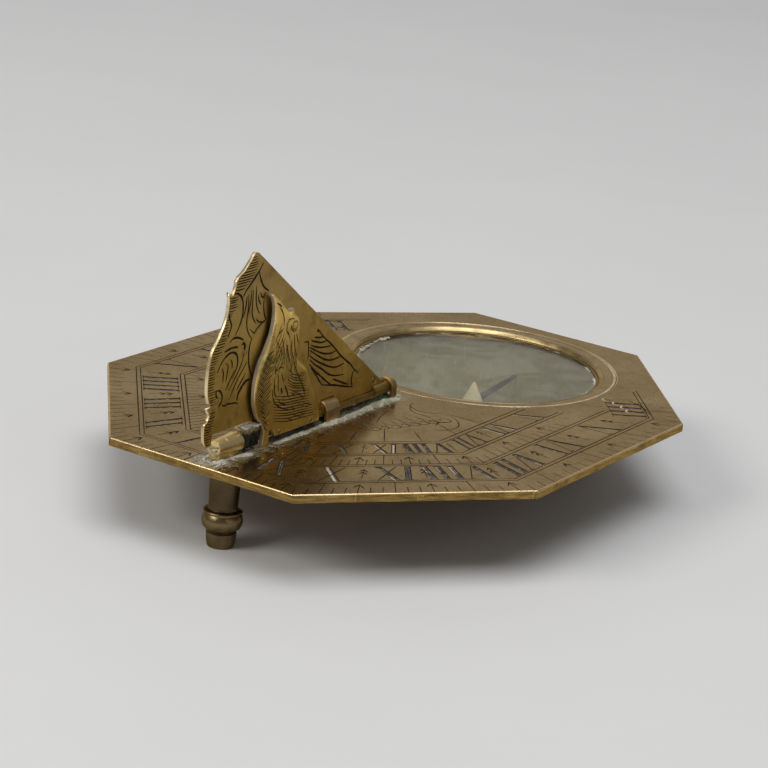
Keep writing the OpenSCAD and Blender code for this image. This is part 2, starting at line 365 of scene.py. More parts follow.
def new_object(name, verts, faces, materials, slots=None):
    """A mesh object from points in mm."""
    mesh = bpy.data.meshes.new(name)
    mesh.from_pydata([[c * MM for c in p] for p in verts], [], faces)
    for material in materials:
        mesh.materials.append(material)
    if slots:
        mesh.polygons.foreach_set("material_index", slots)
    mesh.validate()
    mesh.update()
    return linked(name, mesh)


def settle(piece, body, slot, *nodes):
    """Hangs a finished piece on its body, in place of the nodes it stands for."""
    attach(piece, body)
    if nodes:
        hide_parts(*nodes)
    return piece


def engraved(name, node, axis, graver, materials, rim, depth, crown=None, grid=0):
    """An engraved sheet in the place of a CAD sheet."""
    loops = face_loops(node, axis)
    verts, faces, slots, rounded = sheet_mesh(
        loops, axis, edge_of(node, axis, False), edge_of(node, axis), graver, rim, depth, crown, grid)
    piece = new_object(name, verts, faces, materials, slots)
    if crown:
        smooth(piece.data, 38)
    else:
        piece.data.polygons.foreach_set("use_smooth", rounded)
    return piece


# ---------------------------------------------------------------- worn and turned pieces

def worn(name, node, material, width, segments=3, rough=0.0):
    """The CAD node's shape with its edges rounded over and, with rough, its faces left uneven."""
    doubles = 2e-6
    flat_angle = math.radians(1)
    edge_angle = math.radians(28)
    long_edge = 0.35 * MM
    mesh = bmesh.new()
    mesh.from_mesh(NODES[node].data)
    bmesh.ops.remove_doubles(mesh, verts=mesh.verts, dist=doubles)
    bmesh.ops.dissolve_limit(mesh, angle_limit=flat_angle, verts=mesh.verts, edges=mesh.edges)
    sharp = [e for e in mesh.edges if e.is_manifold and e.calc_face_angle(0) > edge_angle]
    bmesh.ops.bevel(mesh, geom=sharp, offset=width * MM, segments=segments, profile=0.5,
                    affect="EDGES", clamp_overlap=True)
    bmesh.ops.triangulate(mesh, faces=[f for f in mesh.faces if len(f.verts) > 4])
    if rough:
        low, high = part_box(node)
        for _ in range(2):
            long = [e for e in mesh.edges if e.calc_length() > long_edge]
            bmesh.ops.subdivide_edges(mesh, edges=long, cuts=1)
            bmesh.ops.triangulate(mesh, faces=[f for f in mesh.faces if len(f.verts) > 4])
        mesh.normal_update()
        for v in mesh.verts:
            lump = noise.noise(v.co * 2200) + 0.5 * noise.noise(v.co * 5200)
            spot = v.co - v.normal * (rough * MM * (0.6 + 0.4 * lump))
            v.co = Vector([min(max(spot[n], low[n]), high[n]) for n in range(3)])
    data = bpy.data.meshes.new(name)
    mesh.to_mesh(data)
    mesh.free()
    smooth(data, 40)
    data.materials.clear()
    data.materials.append(material)
    return linked(name, data)


def turned(name, profile, centre, material, steps=160, turn=360, start=0, rock=None):
    """A lathe-turned piece from [radius, height] points. Points on the axis close it.
    rock(angle, radius, height) may move a point's radius and height a little."""
    whole = turn == 360
    count = steps if whole else steps + 1
    verts = []
    faces = []
    size = len(profile)
    on_axis = [r < 1e-6 for r, _ in profile]
    for k in range(count):
        angle = math.radians(start + turn * k / steps)
        for r, z in profile:
            if rock:
                r, z = rock(angle, r, z)
            verts.append((centre[0] + r * math.cos(angle), centre[1] + r * math.sin(angle), z))
    for k in range(steps):
        here = k * size
        there = ((k + 1) % count) * size
        for i in range(size):
            j = (i + 1) % size
            if on_axis[i] and on_axis[j]:
                continue
            if on_axis[i]:
                faces.append([here + i, there + j, here + j])
            elif on_axis[j]:
                faces.append([here + i, there + i, here + j])
            else:
                faces.append([here + i, there + i, there + j, here + j])
    if not whole:
        faces.append(list(range(size))[::-1])
        faces.append([(count - 1) * size + i for i in range(size)])
    piece = new_object(name, verts, faces, [material])
    shape = bmesh.new()
    shape.from_mesh(piece.data)
    bmesh.ops.remove_doubles(shape, verts=shape.verts, dist=1e-7)
    bmesh.ops.recalc_face_normals(shape, faces=shape.faces)
    shape.to_mesh(piece.data)
    shape.free()
    smooth(piece.data, 42)
    return piece


def rounded_profile(points, radius, steps=3):
    """The closed profile with each corner off the axis rounded over."""
    out = []
    for i, p in enumerate(points):
        a = points[i - 1]
        b = points[(i + 1) % len(points)]
        if p[0] == 0:
            out.append(p)
            continue
        # A cut takes less than half of a side, so that two cuts never meet
        cut = min(radius, math.dist(a, p) * 0.45, math.dist(p, b) * 0.45)
        start = [p[n] + (a[n] - p[n]) * cut / math.dist(a, p) for n in range(2)]
        end = [p[n] + (b[n] - p[n]) * cut / math.dist(p, b) for n in range(2)]
        for k in range(steps + 1):
            t = k / steps
            out.append(tuple((1 - t) ** 2 * start[n] + 2 * t * (1 - t) * p[n] + t * t * end[n]
                             for n in range(2)))
    return out


# ---------------------------------------------------------------- materials

class Nodes:
    """A material's node tree, with short calls for the nodes that this script uses."""

    def __init__(self, name):
        self.material = bpy.data.materials.new(name)
        self.material.use_nodes = True
        self.tree = self.material.node_tree
        self.shader = self.tree.nodes["Principled BSDF"]
        self.place = self.tree.nodes.new("ShaderNodeTexCoord").outputs["Object"]

    def put(self, socket, value):
        """Links a node's output to a socket, or gives the socket a plain value."""
        if isinstance(value, bpy.types.NodeSocket):
            self.tree.links.new(value, socket)
        else:
            socket.default_value = value

    def set(self, name, value):
        """Sets or links one of the shader's own sockets."""
        self.put(self.shader.inputs[name], value)

    def noise(self, size, detail=4, rough=0.55, stretch=None, turn=0, distort=0):
        """Noise whose features are about size mm. stretch draws it out along the axes."""
        node = self.tree.nodes.new("ShaderNodeTexNoise")
        node.inputs["Scale"].default_value = 1 / (size * MM)
        node.inputs["Detail"].default_value = detail
        node.inputs["Roughness"].default_value = rough
        node.inputs["Distortion"].default_value = distort
        place = self.place
        if stretch:
            mapping = self.tree.nodes.new("ShaderNodeMapping")
            mapping.inputs["Scale"].default_value = [1 / s for s in stretch]
            mapping.inputs["Rotation"].default_value = (0, 0, math.radians(turn))
            self.put(mapping.inputs["Vector"], place)
            place = mapping.outputs["Vector"]
        self.put(node.inputs["Vector"], place)
        return node.outputs["Fac"]

    def ramp(self, value, low, high, start=0.0, end=1.0, smooth=True):
        """Maps low..high of a value to start..end."""
        node = self.tree.nodes.new("ShaderNodeMapRange")
        node.interpolation_type = "SMOOTHSTEP" if smooth else "LINEAR"
        self.put(node.inputs["Value"], value)
        for name, number in (("From Min", low), ("From Max", high), ("To Min", start), ("To Max", end)):
            node.inputs[name].default_value = number
        return node.outputs["Result"]

    def mix(self, share, a, b):
        """Colour a where share is 0, b where it is 1."""
        node = self.tree.nodes.new("ShaderNodeMix")
        node.data_type = "RGBA"
        self.put(node.inputs[0], share)
        self.put(node.inputs[6], a if isinstance(a, bpy.types.NodeSocket) else (*a, 1))
        self.put(node.inputs[7], b if isinstance(b, bpy.types.NodeSocket) else (*b, 1))
        return node.outputs[2]

    def over(self, below, above, value, low, high, share=1.0):
        """Lays a colour over another where a value runs from low to high, up to a share."""
        return self.mix(self.ramp(value, low, high, 0, share), below, above)

    def chain(self, kind, first, *others):
        """One kind of sum over two or more values."""
        for other in others:
            node = self.tree.nodes.new("ShaderNodeMath")
            node.operation = kind
            self.put(node.inputs[0], first)
            self.put(node.inputs[1], other)
            first = node.outputs[0]
        return first

    def add(self, *values):
        return self.chain("ADD", *values)

    def times(self, *values):
        return self.chain("MULTIPLY", *values)

    def less(self, a, b):
        return self.chain("SUBTRACT", a, b)

    def larger(self, a, b):
        return self.chain("MAXIMUM", a, b)

    def absolute(self, a):
        return self.chain("ABSOLUTE", a, 0.0)

    def hair(self, size, along, across, turn, cross_turn, level):
        """Hair scratches in two directions: 1 on a scratch and 0 beside it."""
        scratches = self.noise(size, 2, 0.5, stretch=along, turn=turn)
        cross = self.noise(size, 2, 0.5, stretch=across, turn=cross_turn)
        return self.larger(self.ramp(scratches, level, level + 0.04),
                           self.ramp(cross, level + 0.01, level + 0.05))

    def axis(self, name):
        """One coordinate of the place, in metres."""
        node = self.tree.nodes.new("ShaderNodeSeparateXYZ")
        self.put(node.inputs[0], self.place)
        return node.outputs[name]

    def off(self, point, scale=(1, 1, 0)):
        """Distance from a point, in metres, after the axes are scaled."""
        node = self.tree.nodes.new("ShaderNodeVectorMath")
        node.operation = "MULTIPLY"
        self.put(node.inputs[0], self.place)
        node.inputs[1].default_value = scale
        gap = self.tree.nodes.new("ShaderNodeVectorMath")
        gap.operation = "DISTANCE"
        self.put(gap.inputs[0], node.outputs[0])
        gap.inputs[1].default_value = [c * s for c, s in zip(point, scale)]
        return gap.outputs["Value"]

    def bump(self, height, depth):
        """Relief of a height field, depth mm from 0 to 1."""
        node = self.tree.nodes.new("ShaderNodeBump")
        node.inputs["Strength"].default_value = 1
        node.inputs["Distance"].default_value = depth * MM
        self.put(node.inputs["Height"], height)
        self.set("Normal", node.outputs["Normal"])

    def clear(self, tint, share):
        """Mixes the surface with a clear tint. A share of 1 is all surface."""
        clear = self.tree.nodes.new("ShaderNodeBsdfTransparent")
        clear.inputs["Color"].default_value = (*tint, 1)
        blend = self.tree.nodes.new("ShaderNodeMixShader")
        self.put(blend.inputs[0], share)
        self.put(blend.inputs[1], clear.outputs[0])
        self.put(blend.inputs[2], self.shader.outputs[0])
        self.put(self.tree.nodes["Material Output"].inputs["Surface"], blend.outputs[0])


# Tint of old brass at a low angle, where clean metal would turn white
EDGE_TINT = (0.82, 0.70, 0.53, 1)


def brass_nodes(name, bright, mid, dark, rough, grime, grain=0.4, metallic=1.0, turn=0, shade=None,
                streaks=None):
    """Old brass: broad clouds of patina, dark flecks, hair scratches and a slightly uneven face.
    shade is (height it starts at, height it is full at, share, colour) of painted shade that darkens the
    colour along Z.
    streaks stretches the flecks along the axes. Returns the nodes and the colour's socket."""
    n = Nodes(name)
    clouds = n.noise(9, 6, 0.6, distort=0.6)
    patches = n.noise(2.2, 5, 0.6)
    flecks = n.noise(0.45, 4, 0.7, stretch=streaks)
    hair = n.hair(0.25, (28, 1, 6), (1, 34, 8), turn, turn + 17, 0.66)
    colour = n.over(mid, bright, clouds, 0.35, 0.66)
    colour = n.over(colour, dark, patches, 0.5, 0.78, 0.75)
    if streaks:
        colour = n.over(colour, dark, flecks, 0.4, 0.6, grime)
    colour = n.over(colour, [c * 0.3 for c in dark], flecks, 0.62, 0.72, grime)
    colour = n.mix(n.times(hair, 0.35), colour, [min(1, c * 1.5) for c in bright])
    # Painted shade: the colour darkens from one height to another
    if shade:
        start, full, share, painted_shade_and_dirt = shade
        colour = n.over(colour, painted_shade_and_dirt, n.axis("Z"), start * MM, full * MM, share)
    n.set("Base Color", colour)
    n.set("Metallic", metallic)
    n.set("Specular Tint", EDGE_TINT)
    haze = n.ramp(patches, 0.3, 0.75, rough - 0.08, rough + 0.14)
    n.set("Roughness", n.less(haze, n.times(hair, 0.1)))
    relief = n.add(n.times(flecks, 0.35), n.times(hair, -0.25), n.times(n.noise(1.3, 3), 0.8))
    n.bump(relief, 0.02 * grain)
    return n, colour


def brass(*details, **more):
    """Plain old brass. brass_nodes says what the values are."""
    return brass_nodes(*details, **more)[0].material


def barrel_brass():
    """The barrel's brass, with white polish dried on its north end."""
    n, clean = brass_nodes("barrel_brass", (0.98, 0.76, 0.38), (0.84, 0.60, 0.27), (0.34, 0.22, 0.09),
                           0.38, 0.95, 2.0)
    grains = n.noise(0.42, 5, 0.75)
    ragged = n.times(grains, 0.0012)
    end = n.ramp(n.add(n.axis("Y"), ragged), -0.0352, -0.0350, 1, 0)
    low = n.ramp(n.less(n.axis("Z"), ragged), (PLATE_TOP + 0.85) * MM, (PLATE_TOP + 1.25) * MM, 1, 0)
    share = n.times(end, low, n.ramp(n.noise(0.3, 4), 0.36, 0.6, 0.95, 0.4))
    polish = n.over((0.74, 0.71, 0.60), (0.14, 0.11, 0.07), grains, 0.5, 0.6)
    n.set("Base Color", n.mix(share, clean, polish))
    n.set("Metallic", n.less(1.0, share))
    return n.material


def bezel_brass():
    """The bezel's brass: brown on the flat, brighter on the wall down to the glass, with a painted
    highlight on the outer rim, strongest on the west side.
    """
    n, brown = brass_nodes("bezel_brass", (0.44, 0.34, 0.205), (0.36, 0.27, 0.155), (0.20, 0.145, 0.08),
                           0.33, 0.6)
    off = n.off(COMPASS_PLACE)
    # Painted highlight: the outer rim turns pale, most of all towards the west
    west = n.ramp(n.axis("X"), 0.004, 0.0145, 0.12, 1.0)
    rim = n.times(n.ramp(off, (BEZEL_R - 0.36) * MM, (BEZEL_R - 0.26) * MM), west)
    wall = n.ramp(off, (BEZEL_R - 1.78) * MM, (BEZEL_R - 1.66) * MM, 1, 0)
    uneven = n.ramp(n.noise(2.4, 4), 0.35, 0.6, 0.45, 1.0)
    colour = n.mix(n.times(wall, uneven), brown, (0.60, 0.45, 0.215))
    n.set("Base Color", n.mix(n.times(rim, uneven), colour, (0.92, 0.82, 0.66)))
    return n.material


def cap_brass():
    """Pale brass with a faint glow, in place of the light that the glass keeps from the cap."""
    n, _ = brass_nodes("pale_brass", (1.0, 0.93, 0.66), (1.0, 0.88, 0.58), (0.9, 0.75, 0.46),
                       0.4, 0.2, metallic=0.0)
    n.set("Emission Color", (1.0, 0.93, 0.68, 1))
    n.set("Emission Strength", 0.07)
    return n.material


def plate_brass():
    """The plate's face: grey-brown patina, and a film of dried polish along the gnomon's foot."""
    n = Nodes("plate_brass")
    clouds = n.noise(11, 6, 0.6, distort=0.8)
    patches = n.noise(2.6, 6, 0.65)
    flecks = n.noise(0.5, 4, 0.7)
    fine = n.noise(0.24, 5, 0.75, stretch=(2.2, 1, 1), turn=-35)
    hair = n.hair(0.22, (40, 1, 1), (1, 44, 1), 35, 12, 0.68)
    colour = n.over((0.29, 0.215, 0.125), (0.40, 0.31, 0.19), clouds, 0.36, 0.66)
    colour = n.over(colour, (0.24, 0.165, 0.08), patches, 0.48, 0.75, 0.7)
    colour = n.over(colour, (0.155, 0.105, 0.065), fine, 0.52, 0.68, 0.75)
    colour = n.over(colour, (0.56, 0.44, 0.32), fine, 0.48, 0.3, 0.45)
    colour = n.over(colour, (0.06, 0.043, 0.03), flecks, 0.62, 0.7, 0.8)
    colour = n.mix(n.times(hair, 0.4), colour, (0.5, 0.4, 0.26))
    # A painted reflection of the gnomon's style: a golden patch on the plate west of the gnomon
    painted_style_reflection = n.ramp(n.off((0.0055, -0.026, 0), (1, 0.6, 0)), 0.003, 0.0095, 0.65, 0)
    painted_style_reflection = n.times(painted_style_reflection, n.ramp(patches, 0.38, 0.62, 1.0, 0.55))
    colour = n.mix(painted_style_reflection, colour, (0.57, 0.425, 0.20))
    # The film: a ragged strip on both sides of the hinge, thickest around the barrel
    ragged = n.noise(1.5, 6, 0.7)
    across = n.add(n.absolute(n.axis("X")), n.times(ragged, 0.0042))
    strip = n.times(n.ramp(across, 0.0027, 0.0052, 1, 0), n.ramp(n.axis("Y"), -0.0005, 0.0008, 1, 0))
    barrel = n.ramp(n.add(n.off((0.0, -0.0358, 0)), n.times(ragged, 0.003)), 0.0027, 0.0048, 1, 0)
    film = n.larger(n.times(strip, 0.7), n.times(barrel, 0.95))
    film = n.times(film, n.ramp(fine, 0.36, 0.6, 1.0, 0.25))
    chalk = n.over((0.52, 0.50, 0.42), (0.27, 0.28, 0.20), n.axis("Y"), -0.036, -0.024)
    n.set("Base Color", n.mix(film, colour, chalk))
    n.set("Metallic", n.less(1.0, film))
    n.set("Specular Tint", EDGE_TINT)
    haze = n.less(n.ramp(patches, 0.3, 0.75, 0.2, 0.33), n.times(hair, 0.08))
    n.set("Roughness", n.add(haze, n.times(film, 0.5)))
    relief = n.add(n.times(flecks, 0.3), n.times(hair, -0.2), n.times(n.noise(1.6, 3), 0.9),
                   n.times(film, 2.5))
    n.bump(relief, 0.008)
    return n.material


def filler(name, base, other, worn_to=None):
    """What lies in the cuts: wax, grime or chalk. worn_to is the colour where it has come away."""
    n = Nodes(name)
    grains = n.noise(0.35, 5, 0.7)
    colour = n.over(base, other, n.noise(1.8, 3), 0.35, 0.7)
    colour = n.over(colour, [c * 0.55 for c in base], grains, 0.55, 0.75, 0.6)
    if worn_to:
        gone = n.noise(0.5, 5, 0.75, stretch=(1, 1.8, 1), turn=30)
        colour = n.over(colour, worn_to, gone, 0.47, 0.6)
    n.set("Base Color", colour)
    n.set("Roughness", n.ramp(grains, 0.3, 0.7, 0.6, 0.8))
    n.set("Specular IOR Level", 0.1)
    n.bump(grains, 0.03)
    return n.material


def residue_material():
    """Polish left white along the hinge, and duller and greener towards the compass."""
    n = Nodes("chalky_residue")
    grains = n.noise(0.25, 5, 0.75)
    patches = n.noise(1.1, 5, 0.65)
    white = n.over((0.74, 0.72, 0.62), (0.38, 0.37, 0.29), patches, 0.4, 0.62)
    verdigris = n.over((0.64, 0.61, 0.48), (0.31, 0.30, 0.20), patches, 0.4, 0.62)
    colour = n.over(white, verdigris, n.axis("Y"), -0.032, -0.002)
    colour = n.over(colour, (0.13, 0.105, 0.06), grains, 0.52, 0.66, 0.75)
    n.set("Base Color", colour)
    n.set("Roughness", 0.9)
    n.bump(n.add(grains, patches), 0.2)
    return n.material


def shade_and_verdigris_material():
    """A dark deposit in the corner under the hinge bar, painted shade with some dirt, gone green with
    verdigris near the gnomon's toe.
    """
    n = Nodes("verdigris")
    grains = n.noise(0.3, 5, 0.7)
    patches = n.noise(1.3, 4, 0.6)
    southwards = n.add(n.axis("Y"), n.times(patches, 0.006))
    # The dark part is painted shade with some dirt
    painted_shade_and_dirt = n.over((0.05, 0.05, 0.03), (0.13, 0.14, 0.085), patches, 0.4, 0.6)
    green = n.over((0.075, 0.16, 0.085), (0.20, 0.30, 0.19), grains, 0.4, 0.6)
    n.set("Base Color", n.over(painted_shade_and_dirt, green, southwards, -0.005, 0.002))
    n.set("Roughness", 0.85)
    n.bump(grains, 0.15)
    return n.material


def steel_material(name, base, rust, rough, share):
    """Steel that has rusted in patches. share widens the patches."""
    n = Nodes(name)
    patches = n.noise(0.9, 6, 0.7, distort=0.5)
    grains = n.noise(0.2, 4, 0.7)
    colour = n.over(base, rust, patches, 0.5 - share / 2, 0.72 - share / 2)
    colour = n.over(colour, [c * 0.4 for c in base], grains, 0.6, 0.7, 0.5)
    n.set("Base Color", colour)
    n.set("Metallic", n.ramp(patches, 0.45, 0.7, 0.9, 0.3))
    n.set("Roughness", n.ramp(patches, 0.3, 0.7, rough, rough + 0.3))
    n.bump(n.add(patches, n.times(grains, 0.4)), 0.05)
    return n.material


def crusted_steel():
    """Blackened steel with a white and rusty crust on its upper side."""
    n = Nodes("corroded_steel")
    patches = n.noise(0.7, 6, 0.7, distort=0.6)
    grains = n.noise(0.22, 5, 0.7)
    colour = n.over((0.011, 0.011, 0.008), (0.055, 0.052, 0.032), patches, 0.42, 0.68)
    colour = n.over(colour, (0.26, 0.27, 0.19), grains, 0.6, 0.72, 0.6)
    crust = n.over((0.62, 0.58, 0.46), (0.30, 0.20, 0.09), patches, 0.45, 0.55)
    height = n.add(n.axis("Z"), n.times(patches, 0.0016))
    n.set("Base Color", n.over(colour, crust, height, (PLATE_TOP + 2.75) * MM, (PLATE_TOP + 3.25) * MM))
    n.set("Metallic", n.ramp(patches, 0.4, 0.6, 0.6, 0.05))
    n.set("Roughness", n.ramp(grains, 0.3, 0.7, 0.5, 0.9))
    n.set("Specular IOR Level", 0.25)
    n.bump(n.add(patches, n.times(grains, 0.5)), 0.16)
    return n.material


def clear_glass():
    """The glass's edge and lower face, which only tint what is seen through them."""
    n = Nodes("clear_glass")
    n.set("Base Color", (0.4, 0.45, 0.38, 1))
    n.set("Roughness", 0.15)
    n.clear((0.97, 0.97, 0.92), n.ramp(n.noise(3, 5), 0.4, 0.8, 0.02, 0.08))
    return n.material


def glass_material():
    """Thin old glass: clear with a yellowish haze, and mirror-like at a low angle."""
    n = Nodes("old_glass")
    haze = n.noise(7, 5, 0.6, distort=1.2)
    dust = n.noise(0.5, 4, 0.7)
    fresnel = n.tree.nodes.new("ShaderNodeFresnel")
    fresnel.inputs["IOR"].default_value = 1.52
    film = n.add(n.ramp(haze, 0.3, 0.75, 0.0, 0.06), n.ramp(dust, 0.66, 0.76, 0, 0.1))
    # Dust gathered against the ring that holds the glass
    worn_edge = n.add(n.off(COMPASS_PLACE), n.times(n.noise(1.7, 5, 0.7), 0.0012))
    edge = n.times(n.ramp(worn_edge, 0.01488, 0.01523), n.ramp(n.noise(2.5, 3), 0.45, 0.6, 0.1, 0.7))
    colour = n.over((0.71, 0.68, 0.56), (0.98, 0.92, 0.77), haze, 0.4, 0.62)
    n.set("Base Color", n.mix(edge, colour, (0.78, 0.8, 0.76)))
    n.set("Metallic", n.less(1.0, edge))
    n.set("Roughness", n.ramp(haze, 0.35, 0.7, 0.10, 0.2))
    share = n.add(fresnel.outputs["Fac"], n.add(film, edge))
    share.node.use_clamp = True
    n.clear((0.96, 0.95, 0.89), share)
    n.bump(n.noise(5, 2), 0.01)
    return n.material


PLATE_BRASS = plate_brass()
UNDER_BRASS = brass("under_brass", (0.27, 0.19, 0.095), (0.18, 0.12, 0.06), (0.1, 0.065, 0.035),
                    0.38, 0.7, turn=60)
BAR_BRASS = brass("bar_brass", (0.52, 0.37, 0.13), (0.36, 0.25, 0.085), (0.13, 0.095, 0.04), 0.42, 0.9)
GOLD_BRASS = brass("gold_brass", (0.60, 0.41, 0.17), (0.44, 0.29, 0.11), (0.20, 0.125, 0.045), 0.33, 0.7)
BARREL_BRASS = barrel_brass()
BEZEL_BRASS = bezel_brass()
RING_BRASS = brass("ring_brass", (0.36, 0.26, 0.14), (0.26, 0.18, 0.095), (0.12, 0.085, 0.045), 0.38, 0.8)
STRAP_BRASS = brass("strap_brass", (0.66, 0.47, 0.24), (0.50, 0.34, 0.16), (0.24, 0.155, 0.07), 0.34, 0.9)
EDGE_BRASS = brass("edge_brass", (0.44, 0.29, 0.095), (0.33, 0.21, 0.062), (0.15, 0.095, 0.03),
                   0.36, 0.75, streaks=(5, 5, 0.6))
# The style's colour darkens from 18 mm up to its top: painted shade
STYLE_BRASS = brass("style_brass", (0.82, 0.56, 0.16), (0.62, 0.41, 0.105), (0.21, 0.125, 0.035),
                    0.42, 0.9, 1.1, turn=30, shade=(18, 29, 0.75, (0.31, 0.21, 0.09)))
STYLE_RIM = brass("style_rim", (0.92, 0.74, 0.46), (0.56, 0.42, 0.22), (0.10, 0.07, 0.035), 0.36, 0.95, 3.0)
BIRD_BRASS = brass("bird_brass", (1.0, 0.70, 0.22), (0.84, 0.56, 0.16), (0.34, 0.21, 0.055),
                   0.38, 0.9, 1.6, turn=70)
BIRD_EDGE = brass("bird_edge", (0.58, 0.53, 0.40), (0.26, 0.22, 0.14), (0.035, 0.03, 0.02),
                  0.6, 0.95, 8.0, 0.3)
RIM_BRASS = brass("rim_brass", (1.0, 0.76, 0.42), (0.85, 0.62, 0.32), (0.5, 0.34, 0.15), 0.24, 0.3, 0.2)
# The shank darkens above 3.9 mm: painted shade from the plate above it
FOOT_BRASS = brass("foot_brass", (0.27, 0.20, 0.10), (0.17, 0.12, 0.058), (0.065, 0.048, 0.027),
                   0.34, 0.9, 0.8, shade=(3.9, 4.6, 0.8, (0.055, 0.038, 0.02)))
CARD_BRASS = brass("card_brass", (0.41, 0.40, 0.29), (0.32, 0.31, 0.22), (0.20, 0.19, 0.13),
                   0.5, 0.6, metallic=0.2)
SILVERED = brass("silvered", (0.69, 0.67, 0.52), (0.56, 0.54, 0.41), (0.32, 0.30, 0.20),
                 0.55, 0.5, metallic=0.1)
DARK_WAX = filler("dark_wax", (0.024, 0.015, 0.007), (0.045, 0.029, 0.013))
BIRD_WAX = filler("bird_wax", (0.055, 0.034, 0.013), (0.10, 0.064, 0.025))
BROWN_WAX = filler("brown_wax", (0.022, 0.015, 0.010), (0.04, 0.028, 0.017))
PALE_WAX = filler("pale_wax", (0.56, 0.46, 0.37), (0.33, 0.28, 0.23))
GREY_WAX = filler("grey_wax", (0.065, 0.062, 0.062), (0.034, 0.029, 0.024), (0.24, 0.205, 0.16))
GLASS = glass_material()
CLEAR_GLASS = clear_glass()
GLOWING_CAP_BRASS = cap_brass()
STEEL = steel_material("dark_steel", (0.16, 0.16, 0.15), (0.16, 0.10, 0.05), 0.35, 0.1)
BLUED = steel_material("blued_steel", (0.02, 0.024, 0.045), (0.035, 0.028, 0.03), 0.45, 0.0)
CRUSTY = crusted_steel()
RESIDUE = residue_material()
SHADE_AND_VERDIGRIS = shade_and_verdigris_material()


# ---------------------------------------------------------------- the plate

# Where the hour lines meet
CENTRE = (0.0, -1.95)
HALF_W = edge_of("dial_plate", 0)
HALF_L = edge_of("dial_plate", 1)
# Lengths of the short edges and of the straight side edges
END_EDGE = 24.2
SIDE_EDGE = 33.8
cut_x = HALF_W - END_EDGE / 2
cut_y = HALF_L - SIDE_EDGE / 2
cut_len = math.hypot(cut_x, cut_y)
DIAGONAL = (cut_y / cut_len, cut_x / cut_len)
DIAGONAL_AT = DIAGONAL[0] * HALF_W + DIAGONAL[1] * SIDE_EDGE / 2
# The eight sides, each the direction that it faces and its distance from the middle
SIDES = [(1, 0, HALF_W), (DIAGONAL[0], -DIAGONAL[1], DIAGONAL_AT), (0, -1, HALF_L),
         (-DIAGONAL[0], -DIAGONAL[1], DIAGONAL_AT), (-1, 0, HALF_W),
         (-DIAGONAL[0], DIAGONAL[1], DIAGONAL_AT), (0, 1, HALF_L),
         (DIAGONAL[0], DIAGONAL[1], DIAGONAL_AT)]
# Sine of the latitude that each scale is drawn for
OUTER_SCALE = 0.70
INNER_SCALE = 0.64


def bearing(hours, scale):
    """Direction from the centre of the hour line, hours before noon."""
    h = math.radians(15 * hours)
    t = math.atan2(scale * math.sin(h), math.cos(h))
    return math.sin(t), -math.cos(t)


def reach(direction, margin):
    """How far a ray from the centre runs to the octagon pulled in by margin, and which side it meets."""
    best = None
    for side, (nx, ny, at) in enumerate(SIDES):
        facing = nx * direction[0] + ny * direction[1]
        if facing > 1e-6:
            far = (at - margin - nx * CENTRE[0] - ny * CENTRE[1]) / facing
            if best is None or far < best[0]:
                best = (far, side)
    return best


def on_ray(direction, margin):
    """Where a ray from the centre meets the octagon pulled in by margin."""
    far = reach(direction, margin)[0]
    return CENTRE[0] + direction[0] * far, CENTRE[1] + direction[1] * far


def corner(side, margin):
    """Where a side of the octagon meets the next one, both pulled in by margin."""
    ax, ay, a = SIDES[side]
    bx, by, b = SIDES[(side + 1) % 8]
    a -= margin
    b -= margin
    det = ax * by - ay * bx
    return (a * by - b * ay) / det, (ax * b - bx * a) / det


def straight(graver, points, width, fill=DARK, step=4.0):
    """A ruled line through points."""
    for a, b in zip(points, points[1:]):
        # Each end runs on a little, so that lines meet in full
        over = 0.12 / math.dist(a, b)
        start = [a[n] - (b[n] - a[n]) * over for n in range(2)]
        end = [b[n] + (b[n] - a[n]) * over for n in range(2)]
        graver.cut([start, end], width, fill, 0.8, step, 0.2)


def frames(graver):
    """Double lines that run round the bands from the compass on one side to the other.
    Each is its distance from the plate's edge and the place along the noon line where it ends."""
    for margin, end_y in ((3.3, 24.0), (3.8, 23.2), (8.4, 14.2), (8.9, 13.8),
                          (11.8, 9.2), (12.3, 8.8), (15.6, 6.8), (16.2, 6.2)):
        line = [corner(0, margin), corner(1, margin), corner(2, margin), corner(3, margin)]
        if margin < 4:
            turn = corner(7, margin)
            back = DIAGONAL[0] * turn[0] + DIAGONAL[1] * turn[1]
            end = ((back - DIAGONAL[1] * end_y) / DIAGONAL[0], end_y)
            line = [end, turn] + line + [(-turn[0], turn[1]), (-end[0], end[1])]
        else:
            x = HALF_W - margin
            line = [(x, end_y)] + line + [(-x, end_y)]
        straight(graver, line, 0.135)


def arrow(graver, tail, tip, barb, width=0.14, pairs=1):
    """A shaft with one or more pairs of barbs behind its tip."""
    straight(graver, [tail, tip], width)
    long = math.dist(tail, tip)
    dx = (tip[0] - tail[0]) / long
    dy = (tip[1] - tail[1]) / long
    for n in range(pairs):
        x = tip[0] - dx * barb * 1.1 * n
        y = tip[1] - dy * barb * 1.1 * n
        for side in (-1, 1):
            graver.cut([(x, y), (x - dx * barb + side * dy * barb * 0.62,
                                 y - dy * barb - side * dx * barb * 0.62)], width * 1.5, DARK, 0.5, 0.5)


def scale_ticks(graver, scale, outer, inner, last_hour):
    """Marks every ten minutes from the outer line inwards: hours in full, half hours as arrows."""
    band = inner - outer
    for k in range(-int(last_hour * 6), int(last_hour * 6) + 1):
        ray = bearing(k / 6, scale)
        if k % 6 == 0:
            straight(graver, [on_ray(ray, outer), on_ray(ray, inner)], 0.13)
        elif k % 3 == 0:
            arrow(graver, on_ray(ray, outer), on_ray(ray, outer + band * 0.78), band * 0.3, 0.14)
        else:
            short = band * rng.uniform(0.42, 0.52)
            straight(graver, [on_ray(ray, outer), on_ray(ray, outer + short)], 0.12)


